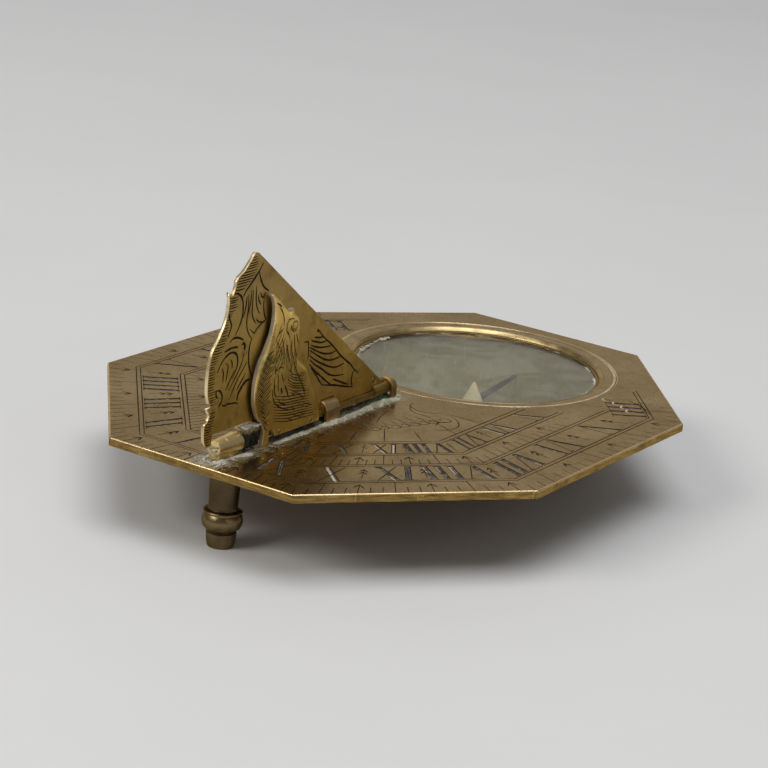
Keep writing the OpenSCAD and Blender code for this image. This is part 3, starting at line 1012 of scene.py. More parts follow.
# Letters of the numerals: width, heavy stroke, thin stroke and serifs, as shares of the letter's box
LETTERS = {
    "I": (0.27, (0.5, 0, 0.5, 1), None, ((0, 1, 0.02), (0, 1, 0.98))),
    "V": (0.72, (0.14, 1, 0.5, 0), (0.9, 1, 0.52, 0), ((-0.02, 0.3, 0.98), (0.75, 1, 0.98))),
    "X": (0.66, (0.14, 1, 0.84, 0), (0.86, 1, 0.14, 0), ((0, 0.28, 0.98), (0.7, 1, 0.02))),
}


def numeral(graver, text, hours, scale, low, high, size, fill):
    """A Roman numeral between two frame lines, its head outwards, its strokes leaning with its hour line.
    fill is PALE for chalky strokes, the chance of a pale fleck in each, or None for plain ones."""
    ray = bearing(hours, scale)
    middle = (low + high) / 2
    _, side = reach(ray, middle)
    nx, ny, _ = SIDES[side]
    read = (ny, -nx)
    facing = nx * ray[0] + ny * ray[1]
    tall = (high - low) * 0.9
    foot = on_ray(ray, high - (high - low) * 0.06)
    lean = (ray[0] * tall / facing, ray[1] * tall / facing)
    gap = 0.06 * size
    total = sum(LETTERS[c][0] * size for c in text) + gap * (len(text) - 1)

    def spot(u, v):
        return foot[0] + read[0] * u + lean[0] * v, foot[1] + read[1] * u + lean[1] * v

    def bar(u0, v0, u1, v1, thick, kind):
        half = thick / 2
        graver.patch([spot(u0 - half, v0), spot(u0 + half, v0), spot(u1 + half, v1), spot(u1 - half, v1)],
                     kind)

    def heavy(u0, v0, u1, v1):
        """A main stroke: grey wax between dark cuts, pale where the wax has gone chalky."""
        thick = (0.09 if fill is None else 0.14) * size
        bar(u0, v0, u1, v1, thick, GREY)
        for shift in (-0.5, 0.5):
            graver.cut([spot(u0 + thick * shift, v0), spot(u1 + thick * shift, v1)], 0.12, DARK, 0.8, 2)
        if fill == PALE:
            bar(u0 + thick * 0.1, v0 + 0.04, u1 + thick * 0.1, v1 - 0.04, thick * 0.48, PALE)
        elif fill is not None:
            graver.cut([spot(u0 + thick * 0.1, v0), spot(u1 - thick * 0.1, v1)], 0.13, DARK, 0.5, 2)
            if rng.random() < fill:
                share = rng.uniform(0.2, 0.6)
                bar(u0 + thick * 0.22, v0 + 0.05, u0 + (u1 - u0) * share + thick * 0.22,
                    v0 + (v1 - v0) * share, thick * 0.22, PALE)

    u = -total / 2
    for letter in text:
        wide, main, thin, serifs = LETTERS[letter]
        w = wide * size
        heavy(u + w * main[0], main[1], u + w * main[2], main[3])
        if thin:
            graver.cut([spot(u + w * thin[0], thin[1]), spot(u + w * thin[2], thin[3])], 0.15, DARK, 0.7, 2)
        for left, right, v in serifs:
            graver.cut([spot(u + w * left, v), spot(u + w * right, v)], 0.13, DARK, 0.8, 1)
        u += w + gap


def plate_engraving():
    """Two hour scales, one for each of two latitudes, and the scrolls between them and the compass."""
    g = Graver()
    frames(g)
    scale_ticks(g, OUTER_SCALE, 0.2, 3.3, 8.2)
    scale_ticks(g, INNER_SCALE, 8.9, 11.8, 6.9)
    morning = ["XI", "X", "IX", "VIII", "VII", "VI", "V", "IIII"]
    evening = ["I", "II", "III", "IIII", "V", "VI", "VII", "VIII"]
    outer_fill = {"XI": 0.7, "X": PALE, "IX": 0.5, "VIII": 0.55, "VII": 0.4}
    inner_fill = {"XI": 0.3, "X": 0.4, "IX": PALE, "VIII": 0.15, "VI": PALE, "V": PALE}
    for n, (before, after) in enumerate(zip(morning, evening)):
        small = 0.78 if n == 0 else 1.0
        numeral(g, before, n + 1, OUTER_SCALE, 3.8, 8.4, 4.5 * small, outer_fill.get(before))
        numeral(g, after, -n - 1, OUTER_SCALE, 3.8, 8.4, 4.5 * small, None)
        if n < 7:
            numeral(g, before, n + 1, INNER_SCALE, 12.3, 15.6, 3.1 * small, inner_fill.get(before))
            numeral(g, after, -n - 1, INNER_SCALE, 12.3, 15.6, 3.1 * small, None)
    # Half hours between the numerals
    for hours in (1.5, 2.5, 3.5, 4.5, 5.5, 6.5, 7.4):
        for side in (-1, 1):
            ray = bearing(hours * side, OUTER_SCALE)
            arrow(g, on_ray(ray, 4.7), on_ray(ray, 7.3), 0.72, 0.14, 2)
            if hours < 6:
                ray = bearing(hours * side, INNER_SCALE)
                arrow(g, on_ray(ray, 12.8), on_ray(ray, 15.1), 0.55, 0.12, 2)
    # Ends of the hour lines inside the inner band
    for hours in (1, 2, 3, 4, 5, 6):
        for side in (-1, 1):
            ray = bearing(hours * side, INNER_SCALE)
            g.cut([on_ray(ray, 16.2), on_ray(ray, 16.2 + rng.uniform(3.2, 4.6))], 0.16, DARK, 0.3, 2)
    # The noon line's two short ends, one on each side of the barrel
    for x in (-2.3, 2.3):
        straight(g, [(x, -37.6), (x, -34.9)], 0.14)
    # Scrolls beside the gnomon's toe
    swashes = [
        [(3.4, -1.6), (4.2, -3.0), (5.8, -3.6), (7.4, -3.0), (7.9, -1.9)],
        [(3.8, -2.6), (5.0, -4.2), (6.9, -4.6), (8.2, -3.8)],
        [(9.3, -2.4), (10.8, -3.4), (11.9, -5.2), (11.6, -7.2), (10.6, -8.2)],
        [(3.2, -6.2), (3.8, -8.8), (4.8, -11.2)],
        [(10.4, -4.2), (9.6, -5.4), (9.9, -6.8)],
    ]
    curl = [(-0.9, -0.5), (-0.1, -0.3), (0.7, 0.1), (0.85, 0.7), (0.35, 0.9), (0.0, 0.5), (0.35, 0.15)]
    for side in (-1, 1):
        for swash in swashes:
            g.cut([(side * x, y) for x, y in swash], 0.13, DARK, 0.3, 0.45)
        for k in range(8):
            # A running scroll: each curl is an open loop on a slanting stem
            x = 5.4 + 0.5 * k
            y = -13.6 + 1.22 * k
            size = rng.uniform(1.0, 1.6)
            g.cut([(side * (x + size * u), y + size * v) for u, v in curl], 0.12, DARK, 0.4, 0.3)
            stem = rng.uniform(0.5, 1.7)
            g.cut([(side * (x - 0.8 - stem), y + 0.5), (side * x, y + 0.1)], 0.11, DARK, 0.3, 0.6)
        # Small sprigs at the two ends of the outer band
        for dx, dy in ((0, 0), (1.5, -0.2), (2.9, -0.8), (4.1, -1.7)):
            x = 17.9 + dx
            y = 18.4 + dy
            g.cut([(side * x, y), (side * (x + 0.3), y - 0.9), (side * (x + 1.2), y - 1.1)], 0.26,
                  PALE if side > 0 else GREY, 0.3, 0.4)
            g.cut([(side * (x + 0.2), y - 0.2), (side * (x + 1.1), y - 0.4)], 0.14, DARK, 0.4, 0.4)
        g.cut([(side * 20.6, 19.6), (side * 22.6, 18.9), (side * 24.9, 16.9)], 0.2, DARK, 0.3, 0.6)
    return g


# ---------------------------------------------------------------- style and bird

def lift(points):
    """From [along the noon line, above the plate] to the plane of the sheet."""
    return [(y, z + PLATE_TOP) for y, z in points]


def style_engraving():
    """Leaf ornament behind the bird, the fan in front of it, and hatching along the ornamental edge."""
    g = Graver()
    ribs = [
        [(-29.5, 20.75), (-30.1, 20), (-31.2, 19), (-32.3, 18.1), (-32.65, 17.6)],
        [(-30.1, 19.95), (-29.8, 19.1), (-29.2, 18.2), (-28.7, 17.8), (-28, 17.4)],
        [(-34.7, 18.2), (-33.7, 18.1), (-33.2, 17.8), (-32.8, 17.3), (-32.55, 16.3), (-32.6, 15.3),
         (-33, 14.4), (-33.6, 13.5)],
        [(-35.1, 16.2), (-34.8, 15.4), (-34.4, 14.7), (-34.7, 14), (-34.9, 13.5)],
        [(-34.5, 12.9), (-34, 13.2), (-33.2, 13.2), (-32.4, 12.9), (-32, 12.7)],
        [(-30.5, 12.6), (-30.8, 11.8), (-30.85, 11), (-30.7, 9.9), (-30.4, 9), (-29.9, 8.2)],
        [(-36.3, 9.9), (-35.9, 10.6), (-35.2, 11.3), (-34.2, 11.7), (-33.3, 11.5), (-32.85, 10.9),
         (-32.8, 10), (-33.1, 9.4), (-33.5, 8.7)],
        [(-35.3, 12), (-34, 12.2), (-32.9, 12.1)],
        [(-36.3, 7.9), (-35.6, 7.8), (-35.1, 7.1), (-35.2, 6.4), (-35.6, 6)],
        [(-36.3, 8), (-36.2, 7.3), (-35.8, 7)],
    ]
    veins = [
        [(-32, 17.5), (-32.1, 16.2), (-32.4, 15.3)],
        [(-31.7, 17.7), (-31.6, 16.2), (-31.7, 14.8), (-31.5, 13.8), (-31, 13), (-30.5, 12.6)],
        [(-31.2, 18), (-31.3, 16.5), (-31.6, 15.4)],
        [(-30.9, 18), (-30.9, 16.5), (-30.8, 15.3), (-30.4, 14.6), (-29.9, 14.1)],
        [(-30.4, 18.4), (-30.3, 17), (-30, 15.9), (-29.4, 15.1)],
        [(-29.9, 17.3), (-29.8, 16.7), (-29.3, 16.1)],
        [(-29.6, 17.5), (-29.3, 17), (-29, 16.85), (-28.6, 17.4)],
        [(-28.8, 17), (-28.8, 15.8), (-28.5, 14.8), (-28.2, 14.3), (-28.8, 14), (-29.7, 13.5),
         (-30.1, 13.1), (-31, 13.7)],
        [(-30, 14.6), (-29.4, 14.2), (-28.8, 14.1)],
        [(-34.1, 11), (-33.8, 10.6), (-33.7, 9.9)],
        [(-34.9, 10.7), (-34.5, 10.4), (-34.5, 9.6), (-34.7, 8.6)],
        [(-35.5, 10.3), (-35.2, 9.6), (-35.2, 8.6)],
        [(-31.8, 11.2), (-31.9, 10.4), (-32.4, 9.5), (-33, 8.7), (-34, 7.5)],
        [(-31, 10.2), (-31.6, 9.5), (-32.4, 8.6), (-33.2, 7.5), (-33.8, 6.4)],
        [(-31.1, 8.9), (-31.9, 8), (-32.6, 7.2)],
        [(-33.2, 9.6), (-34, 8.5), (-34.6, 7.6)],
        [(-35, 6.1), (-34.6, 5.9), (-34, 6), (-33.3, 5.9), (-32.4, 5.8), (-32, 5.5)],
    ]
    heavy = [
        [(-32.3, 12.2), (-32, 12.4), (-31.7, 12.1), (-31.7, 11.5)],
        [(-30.2, 8), (-31, 7.9), (-31.8, 7.3), (-32.3, 6.6), (-32.3, 6)],
        [(-17.9, 11.25), (-17.75, 10.8)],
    ]
    fan = [
        [(-17.7, 11.1), (-16.6, 10.1), (-15, 9), (-13.8, 8.05), (-12.6, 7.05), (-11, 6), (-10.4, 5.6),
         (-9.8, 5), (-8.8, 4.4)],
        [(-20.4, 10.2), (-19.6, 10.1), (-19.4, 9.3), (-19.35, 8.4), (-19.4, 8)],
        [(-18.4, 10.4), (-17.6, 10.2), (-16.6, 10.1)],
        [(-18.9, 10.1), (-17.7, 9.7), (-16.9, 9.5), (-15.8, 9.5)],
        [(-19, 9.6), (-17.7, 9.1), (-16.4, 8.85), (-15.2, 8.75), (-14.8, 8.8)],
        [(-19.2, 9.4), (-17.8, 8.7), (-16.3, 8.1), (-14.9, 7.85), (-13.7, 7.95)],
        [(-19.1, 9), (-17.4, 8.05), (-15.8, 7.3), (-14.4, 7), (-12.6, 7.1)],
        [(-19.1, 8.4), (-17.6, 7.5), (-16.1, 6.8), (-14.6, 6.2), (-13.3, 5.95), (-11.9, 6.1)],
        [(-19, 7.9), (-17.8, 7.1), (-16.2, 6.2), (-14.9, 5.4), (-13.5, 4.95), (-11.8, 4.75)],
        [(-19, 7.4), (-17.8, 6.4), (-16.5, 5.5), (-15, 4.5), (-14, 3.9)],
        [(-18.6, 6.9), (-17.5, 5.9), (-16.8, 5.1), (-16.1, 4.4)],
        [(-16.1, 4.4), (-14.8, 4.1), (-13.4, 3.8), (-11.6, 3.3), (-10.4, 3), (-9.7, 2.8)],
        [(-13.9, 4.6), (-12.6, 4.1), (-11.4, 3.6), (-10.5, 3.3)],
        [(-9.5, 4.8), (-9.9, 4.6), (-10, 4.2), (-10, 3.5), (-9.7, 2.8)],
    ]
    for paths, width, ends, step in ((ribs, 0.27, 0.55, 0.4), (veins, 0.22, 0.45, 0.4),
                                     (heavy, 0.36, 0.5, 0.3), (fan, 0.23, 0.55, 0.45)):
        for path in paths:
            g.cut(lift(path), width, DARK, ends, step)
    # Hatching along the ornamental edge, [height, outer end, inner end] between which it runs
    strips = [
        [(21.7, -31.6, -30.5), (20.9, -32.6, -30.4), (20.0, -33.9, -30.6), (19.2, -34.4, -31.4),
         (18.5, -34.6, -32.4)],
        [(17.8, -35.2, -33.6), (16.6, -35.4, -33.6), (15.4, -35.7, -34.9), (14.4, -36.2, -34.9),
         (13.5, -36.8, -35.0), (12.6, -37.5, -35.6), (11.6, -37.8, -36.2), (10.6, -38, -36.7),
         (9.6, -38, -36.8), (8.4, -38, -36.6), (7.3, -37.8, -36.2), (6.5, -37.6, -35.8)],
        [(5.6, -37.2, -36.2), (4.8, -37.5, -36.4), (3.8, -38, -36.5), (2.8, -37.9, -36.5),
         (2.1, -37.6, -36.6)],
    ]
    for strip in strips:
        height = strip[0][0]
        while height > strip[-1][0]:
            for (z1, out1, in1), (z0, out0, in0) in zip(strip, strip[1:]):
                if z0 <= height <= z1:
                    t = (height - z0) / (z1 - z0)
                    start = out0 + (out1 - out0) * t
                    end = in0 + (in1 - in0) * t + rng.uniform(-0.25, 0.15)
                    dip = rng.uniform(0.03, 0.12)
                    middle = ((start + end) / 2, height - dip)
                    g.cut(lift([(start, height), middle, (end, height - dip / 2)]), 0.14, DARK, 0.45, 0.6)
                    break
            height -= rng.uniform(0.25, 0.31)
    return g


def bird_engraving():
    """The bird's wing, eye and plumage."""
    g = Graver()

    def stroke(points, width, ends=0.3, step=0.4):
        g.cut(lift(points), width, DARK, ends, step)

    lines = [
        [(-27, 15.6), (-26.3, 14.8), (-26, 14), (-25.95, 13.3)],
        [(-27.6, 16.2), (-26.6, 15.6)],
        [(-26.9, 12.5), (-26.1, 13)],
        [(-24.6, 13.2), (-24.4, 12.7), (-23.9, 12.3), (-23.4, 12.4)],
        [(-24, 13.8), (-25, 13.85), (-25.3, 13.3), (-25.3, 12.6), (-24.8, 12.1), (-24.5, 11.2)],
        [(-23.8, 12), (-23.5, 10.5), (-23, 9.4)],
        [(-23.4, 12), (-22.9, 10.8)],
        [(-24.2, 11.5), (-24, 10), (-23.4, 9)],
        [(-25, 11), (-24.7, 9.8), (-24.2, 8.9)],
        [(-26, 11.8), (-25.6, 10.8), (-25.4, 9.8)],
        [(-26.9, 9), (-26.7, 8)],
        [(-26.9, 7.5), (-26.7, 6), (-26.2, 5.2)],
        [(-27, 8.6), (-26.5, 8.4), (-26, 8.7), (-25.2, 8.4)],
        [(-26.2, 7.9), (-26.1, 6.6), (-25.9, 5.9)],
        [(-25.6, 8), (-25.3, 7.2), (-25, 6.9)],
        [(-25.9, 5.2), (-25.5, 4.6), (-24.7, 4.2), (-23.8, 3.9)],
        [(-27.1, 6.4), (-26.9, 5.4), (-26.2, 4.5), (-25, 3.8), (-23.4, 3.3)],
    ]
    for path in lines:
        stroke(path, 0.18, 0.45, 0.35)
    for path in ([(-24.8, 6.4), (-24.3, 5.6), (-23.95, 4.9)], [(-24.3, 7.1), (-24.1, 6.75)],
                 [(-24.1, 8.2), (-23.9, 7.8)], [(-25.5, 6.3), (-25.2, 5.5)]):
        stroke(path, 0.3, 0.4, 0.3)
    eye = (-23.75, 13.0)
    eye_r = 0.48
    rim = []
    for turn in range(13):
        a = math.radians(turn * 30)
        rim.append((eye[0] + eye_r * math.cos(a), eye[1] + eye_r * math.sin(a)))
    for a, b in zip(rim, rim[1:]):
        stroke([a, b], 0.13, 1, 0.3)
    # Breast: long strokes that rise from the edge, crossed by short ones
    for row in range(26):
        z = 10.6 - row * 0.33
        swing = math.sin(min(1, max(0, (10.9 - z) / 7.9)) * math.pi)
        start = -28.7 - 1.35 * swing
        end = -27.5 + 0.25 * math.sin(row * 2.4)
        rise = (end - start) * 0.62
        stroke([(start, z - 0.5), ((start + end) / 2, z - 0.5 + rise * 0.55), (end, z - 0.5 + rise)],
               0.14, 0.5, 0.5)
        if row % 2:
            hook = [(start + 0.25, z + 0.15), (start + 0.8, z - 0.25), (start + 1.3, z - 0.6)]
            stroke(hook, 0.11, 0.4, 0.5)
    # Neck: long wavy strokes down from the eye
    for k in range(9):
        top_y = -25.2 + 0.27 * k
        top_z = 11.6 - 0.12 * k - 0.5 * (k % 3)
        drop = 2.6 + 0.5 * (k % 2)
        stroke([(top_y, top_z), (top_y + 0.15, top_z - drop * 0.35), (top_y + 0.1, top_z - drop * 0.7),
                (top_y + 0.4, top_z - drop)], 0.11)
    for k in range(6):
        stroke([(-27.1 + 0.32 * k, 12.1 - 0.35 * k), (-26.9 + 0.32 * k, 11.2 - 0.35 * k),
                (-27.0 + 0.34 * k, 10.3 - 0.35 * k)], 0.12)
    # Upper breast: long strokes down to the edge, with short ones between
    for k in range(8):
        y = -26.3 + 0.3 * (k % 4)
        z = 13.7 - 0.55 * k
        stroke([(y, z), (y - 0.55, z - 1.2), (y - 1.25, z - 2.3)], 0.12)
    for k in range(10):
        z = 13.6 - 0.33 * k
        y = -28.5 + (z - 10.6) * 0.16
        stroke([(y, z - 0.35), (y + 0.35, z - 0.1), (y + 0.75, z + 0.25)], 0.11, 0.4)
    # Back: short strokes that follow its outline
    for k in range(9):
        y = -23.6 + 0.3 * k
        z = 8.9 - 0.42 * k
        stroke([(y, z), (y + 0.35, z - 0.55), (y + 0.5, z - 1.2)], 0.11)
    # Feathers of back and tail: long strokes that fall away to the tail's tip
    for k in range(17):
        t = k / 16
        start = (-24.3 if t < 0.4 else -27.3 + 0.9 * t, 8.0 - 5.4 * t)
        end = (-21.2 + 3.3 * t, 6.7 - 5.0 * t)
        sag = rng.uniform(0.25, 0.4)
        path = [start]
        for u in (0.3, 0.62):
            fall = (end[1] - start[1]) * u - sag * (1.1 - u)
            path.append((start[0] + (end[0] - start[0]) * u, start[1] + fall))
        stroke(path + [(end[0] + rng.uniform(-0.7, 0.1), end[1])], 0.13, 0.35, 0.6)
    # Short strokes between them
    for _ in range(24):
        y = rng.uniform(-24, -20)
        z = rng.uniform(2.2, 4.2 - (y + 20) * 0.75)
        stroke([(y, z), (y + 0.5, z - 0.22), (y + 1.0, z - 0.36)], 0.11)
    return g


def bird_crown(distance):
    """The bird's face falls away towards its outline."""
    width = 0.6
    fall = 0.07
    share = 1 - min(distance, width) / width
    return fall * (1 - math.sqrt(max(0.0, 1 - share * share)))


# ---------------------------------------------------------------- making the pieces

# Materials of an engraved sheet are in the order FACE, DARK, RIM, PALE, SIDE, GREY, BACK
plate = engraved("plate", "dial_plate", 2, plate_engraving(),
                 [PLATE_BRASS, BROWN_WAX, RIM_BRASS, PALE_WAX, EDGE_BRASS, GREY_WAX, UNDER_BRASS],
                 0.14, 0.06)
settle(plate, "base", "aged_brass", "dial_plate")

style = engraved("style", "style_plate", 0, style_engraving(),
                 [STYLE_BRASS, DARK_WAX, STYLE_RIM, PALE_WAX, STYLE_RIM, GREY_WAX, STYLE_BRASS],
                 0.05, 0.07)
settle(style, "style", "gold_brass", "style_plate")

bird = engraved("bird_cheek", "bird", 0, bird_engraving(),
                [BIRD_BRASS, BIRD_WAX, STYLE_RIM, PALE_WAX, BIRD_EDGE, GREY_WAX, STYLE_BRASS], 0.06, 0.07,
                bird_crown, 0.42)
settle(bird, "gnomon", "gold_brass", "bird")

settle(worn("plain_cheek", "gnomon_leaf", STYLE_BRASS, 0.06), "gnomon", "aged_brass", "gnomon_leaf")

for node, material, body, slot, width, rough in (
        ("north_barrel", BARREL_BRASS, "base", "gold_brass", 0.08, 0.0),
        ("middle_strap", STRAP_BRASS, "base", "gold_brass", 0.06, 0.0),
        ("toe_strap", STRAP_BRASS, "base", "gold_brass", 0.06, 0.0),
        ("leaf_spring", STEEL, "base", "steel", 0.05, 0.0),
        ("hinge_bar", BAR_BRASS, "gnomon", "aged_brass", 0.05, 0.0),
        ("cam_block", CRUSTY, "gnomon", "corroded_steel", 0.15, 0.1),
        ("cheek_rivets", GOLD_BRASS, "gnomon", "gold_brass", 0.04, 0.0),
        ("toe_rivet", GOLD_BRASS, "gnomon", "gold_brass", 0.04, 0.0),
        ("needle", BLUED, "compass_needle", "blued_steel", 0.05, 0.0)):
    settle(worn(node + "_worn", node, material, width, 3, rough), body, slot, node)


# ---------------------------------------------------------------- compass

glass_r = edge_of("compass_glass", 0)
glass_top = edge_of("compass_glass", 2)
glass_bottom = edge_of("compass_glass", 2, False)
seat_r = glass_r + 0.05
seat_z = glass_top + 0.01
ring_out = edge_of("glass_ring", 0)
bezel_in = ring_out + 0.03

bezel_profile = [
    (BEZEL_R, PLATE_BOTTOM), (BEZEL_R, PLATE_TOP - 0.03), (BEZEL_R - 0.04, PLATE_TOP),
    (BEZEL_R - 0.27, PLATE_TOP), (BEZEL_R - 0.36, PLATE_TOP - 0.07), (bezel_in + 0.66, PLATE_TOP - 0.07),
    (bezel_in + 0.58, PLATE_TOP - 0.15), (bezel_in + 0.5, PLATE_TOP - 0.08),
    (bezel_in + 0.34, PLATE_TOP - 0.07), (bezel_in + 0.06, PLATE_TOP - 0.42), (bezel_in, PLATE_TOP - 0.5),
    (bezel_in, seat_z), (seat_r, seat_z), (seat_r, PLATE_BOTTOM)]
bezel = turned("bezel", rounded_profile(bezel_profile, 0.05, 2), COMPASS, BEZEL_BRASS, 200)
settle(bezel, "base", "gold_brass", "bezel_ring")

ring_in = ring_out - 0.35
ring_top = glass_top + 0.15
ring_profile = rounded_profile([(ring_in, seat_z), (ring_out, seat_z), (ring_out, ring_top),
                                (ring_in, ring_top)], 0.05, 3)
# The ring is split: it stops a few degrees short of a full turn
settle(turned("snap_ring", ring_profile, COMPASS, RING_BRASS, 180, 354, 250),
       "base", "gold_brass", "glass_ring")

glass_profile = [(0, glass_bottom), (glass_r - 0.1, glass_bottom), (glass_r, glass_bottom + 0.1),
                 (glass_r, glass_top - 0.1), (glass_r - 0.1, glass_top), (0, glass_top)]
glass = turned("window_glass", glass_profile, COMPASS, GLASS, 128)
glass.data.materials.append(CLEAR_GLASS)
for face in glass.data.polygons:
    face.material_index = 0 if face.normal.z > 0.5 else 1
settle(glass, "base", "old_glass", "compass_glass")

flange_r = edge_of("compass_bowl", 0)
flange_z = PLATE_BOTTOM - 0.6
bowl_r = flange_r - 2.0
bowl_in = bowl_r - 1.1
wall = 0.6
hole_r = 0.5
bowl_profile = [(hole_r, 0)]
# Turned rings under the floor
for r in (2.2, 4.4, 6.6, 8.8, 11.0, 13.2):
    bowl_profile += [(r - 0.14, 0), (r, 0.07), (r + 0.14, 0)]
bowl_profile += [(bowl_r - 0.8, 0), (bowl_r - 0.24, 0.24), (bowl_r, 0.8), (bowl_r, 2.2),
                 (bowl_r - 0.08, 2.3), (bowl_r - 0.08, 2.5), (bowl_r, 2.6), (bowl_r, flange_z - 0.15),
                 (bowl_r + 0.15, flange_z), (flange_r, flange_z), (flange_r, PLATE_BOTTOM),
                 (seat_r, PLATE_BOTTOM), (seat_r, glass_bottom), (bowl_in, glass_bottom), (bowl_in, wall),
                 (hole_r, wall)]
bowl = turned("bowl", rounded_profile(bowl_profile, 0.09, 3), COMPASS, UNDER_BRASS, 160)
bowl.data.materials.append(SILVERED)
for face in bowl.data.polygons:
    outward = face.center - Vector(COMPASS_PLACE)
    outward.z = 0
    if face.center.z > wall * MM and face.normal.dot(outward) < 0:
        face.material_index = 1
settle(bowl, "base", "dark_brass", "compass_bowl")


def on_card(radius, degrees):
    """A point on the compass card at a radius, an angle away from west."""
    a = math.radians(degrees)
    return radius * math.cos(a), COMPASS[1] + radius * math.sin(a)


card_top = edge_of("compass_card", 2)
card_r = edge_of("compass_card", 0)
rose = Graver()
for r in (card_r - 0.9, card_r - 1.3, card_r - 3.4, 4.4):
    rose.cut([on_card(r, 5 * k) for k in range(73)], 0.14, DARK, 1, 3)
for k in range(72):
    tick = 2.1 if k % 2 == 0 else 1.1
    straight(rose, [on_card(card_r - 1.3, 5 * k), on_card(card_r - 1.3 - tick, 5 * k)], 0.13)
# Eight points, each with one side dark and the other in outline
for k in range(8):
    tip = on_card(10.6 if k % 2 == 0 else 7.4, 45 * k)
    hip = 2.7
    rose.cut([tip, on_card(hip, 45 * k - 22.5)], 0.13, DARK, 0.5, 2)
    rose.patch([on_card(1.0, 45 * k), on_card(hip, 45 * k + 22.5), tip])
card = engraved("compass_rose", "compass_card", 2, rose,
                [CARD_BRASS, GREY_WAX, CARD_BRASS, PALE_WAX, CARD_BRASS, GREY_WAX, CARD_BRASS], 0.05, 0.04)
settle(card, "base", "card_brass", "compass_card")

pin_low = edge_of("pivot_pin", 2, False)
pin_high = edge_of("pivot_pin", 2)
pin_profile = [(0, pin_low), (0.44, pin_low), (0.49, pin_low + 0.05), (0.49, card_top), (0.95, card_top),
               (1.0, card_top + 0.08), (0.96, card_top + 0.36), (0.62, card_top + 0.62),
               (0.4, card_top + 0.95), (0.4, pin_high - 0.88), (0.2, pin_high - 0.4), (0, pin_high)]
settle(turned("pivot", pin_profile, COMPASS, STEEL, 48), "base", "steel", "pivot_pin")

cap_low = edge_of("needle_cap", 2, False)
cap_high = edge_of("needle_cap", 2)
cap_r = edge_of("needle_cap", 0)
cap_h = cap_high - cap_low
cap_profile = [(0.46, cap_low), (cap_r - 0.05, cap_low), (cap_r, cap_low + 0.08),
               (cap_r - 0.04, cap_low + 0.2), (cap_r * 0.8, cap_low + cap_h * 0.27),
               (cap_r * 0.5, cap_low + cap_h * 0.55), (0.2, cap_high - 0.1), (0.08, cap_high - 0.02),
               (0, cap_high), (0, cap_low + cap_h * 0.72), (0.3, cap_low + 0.7), (0.46, cap_low + 0.4)]
settle(turned("cap", cap_profile, COMPASS, GLOWING_CAP_BRASS, 64), "compass_needle", "pale_brass", "needle_cap")


# ---------------------------------------------------------------- foot

FOOT = (0.0, middle_of("foot", 1))
foot_top = edge_of("foot", 2)
bulb_r = edge_of("foot", 0)
stud_r = 0.8
stud_low = foot_top - 2.9
shank = 1.72
foot_profile = [
    (0, 0), (1.36, 0), (1.46, 0.05), (1.5, 0.14), (1.56, 0.55), (1.62, 0.6), (1.64, 0.8), (1.66, 1.2),
    (1.70, 1.56), (1.68, 1.66), (1.52, 1.72), (1.46, 1.82), (1.5, 1.92), (1.62, 1.96), (1.84, 2.06),
    (2.05, 2.24), (2.18, 2.5), (bulb_r - 0.02, 2.78), (bulb_r, 3.0), (bulb_r - 0.02, 3.2), (2.16, 3.5),
    (2.04, 3.74), (1.98, 3.84), (2.0, 3.92), (2.12, 3.95), (2.16, 4.03), (2.14, 4.12), (2.06, 4.2),
    (1.86, 4.26), (1.68, 4.32), (1.64, 4.4), (1.62, 4.6), (1.66, 5.4), (1.7, 6.8), (shank, 8.0),
    (shank, 8.2), (1.66, 8.26), (1.66, 8.36), (shank, 8.42), (shank, foot_top - 0.12),
    (1.6, foot_top), (stud_r, foot_top), (stud_r, stud_low), (0, stud_low)]


def foot_rock(angle, r, z):
    """Dents all over a hand-finished foot, and file marks on its bulb."""
    depth = 0.02
    if r < 1.2:
        return r, z
    dent = noise.noise(Vector((math.cos(angle) * 2.2, math.sin(angle) * 2.2, z * 1.6)))
    mark = noise.noise(Vector((angle * 9.0, z * 1.5, 4.0)))
    return r - depth - depth * dent - (depth * max(0.0, mark) if 2.1 < z < 3.7 else 0), z


settle(turned("foot_turned", foot_profile, FOOT, FOOT_BRASS, 120, rock=foot_rock),
       "base", "dark_brass", "foot")


# ---------------------------------------------------------------- residue along the hinge

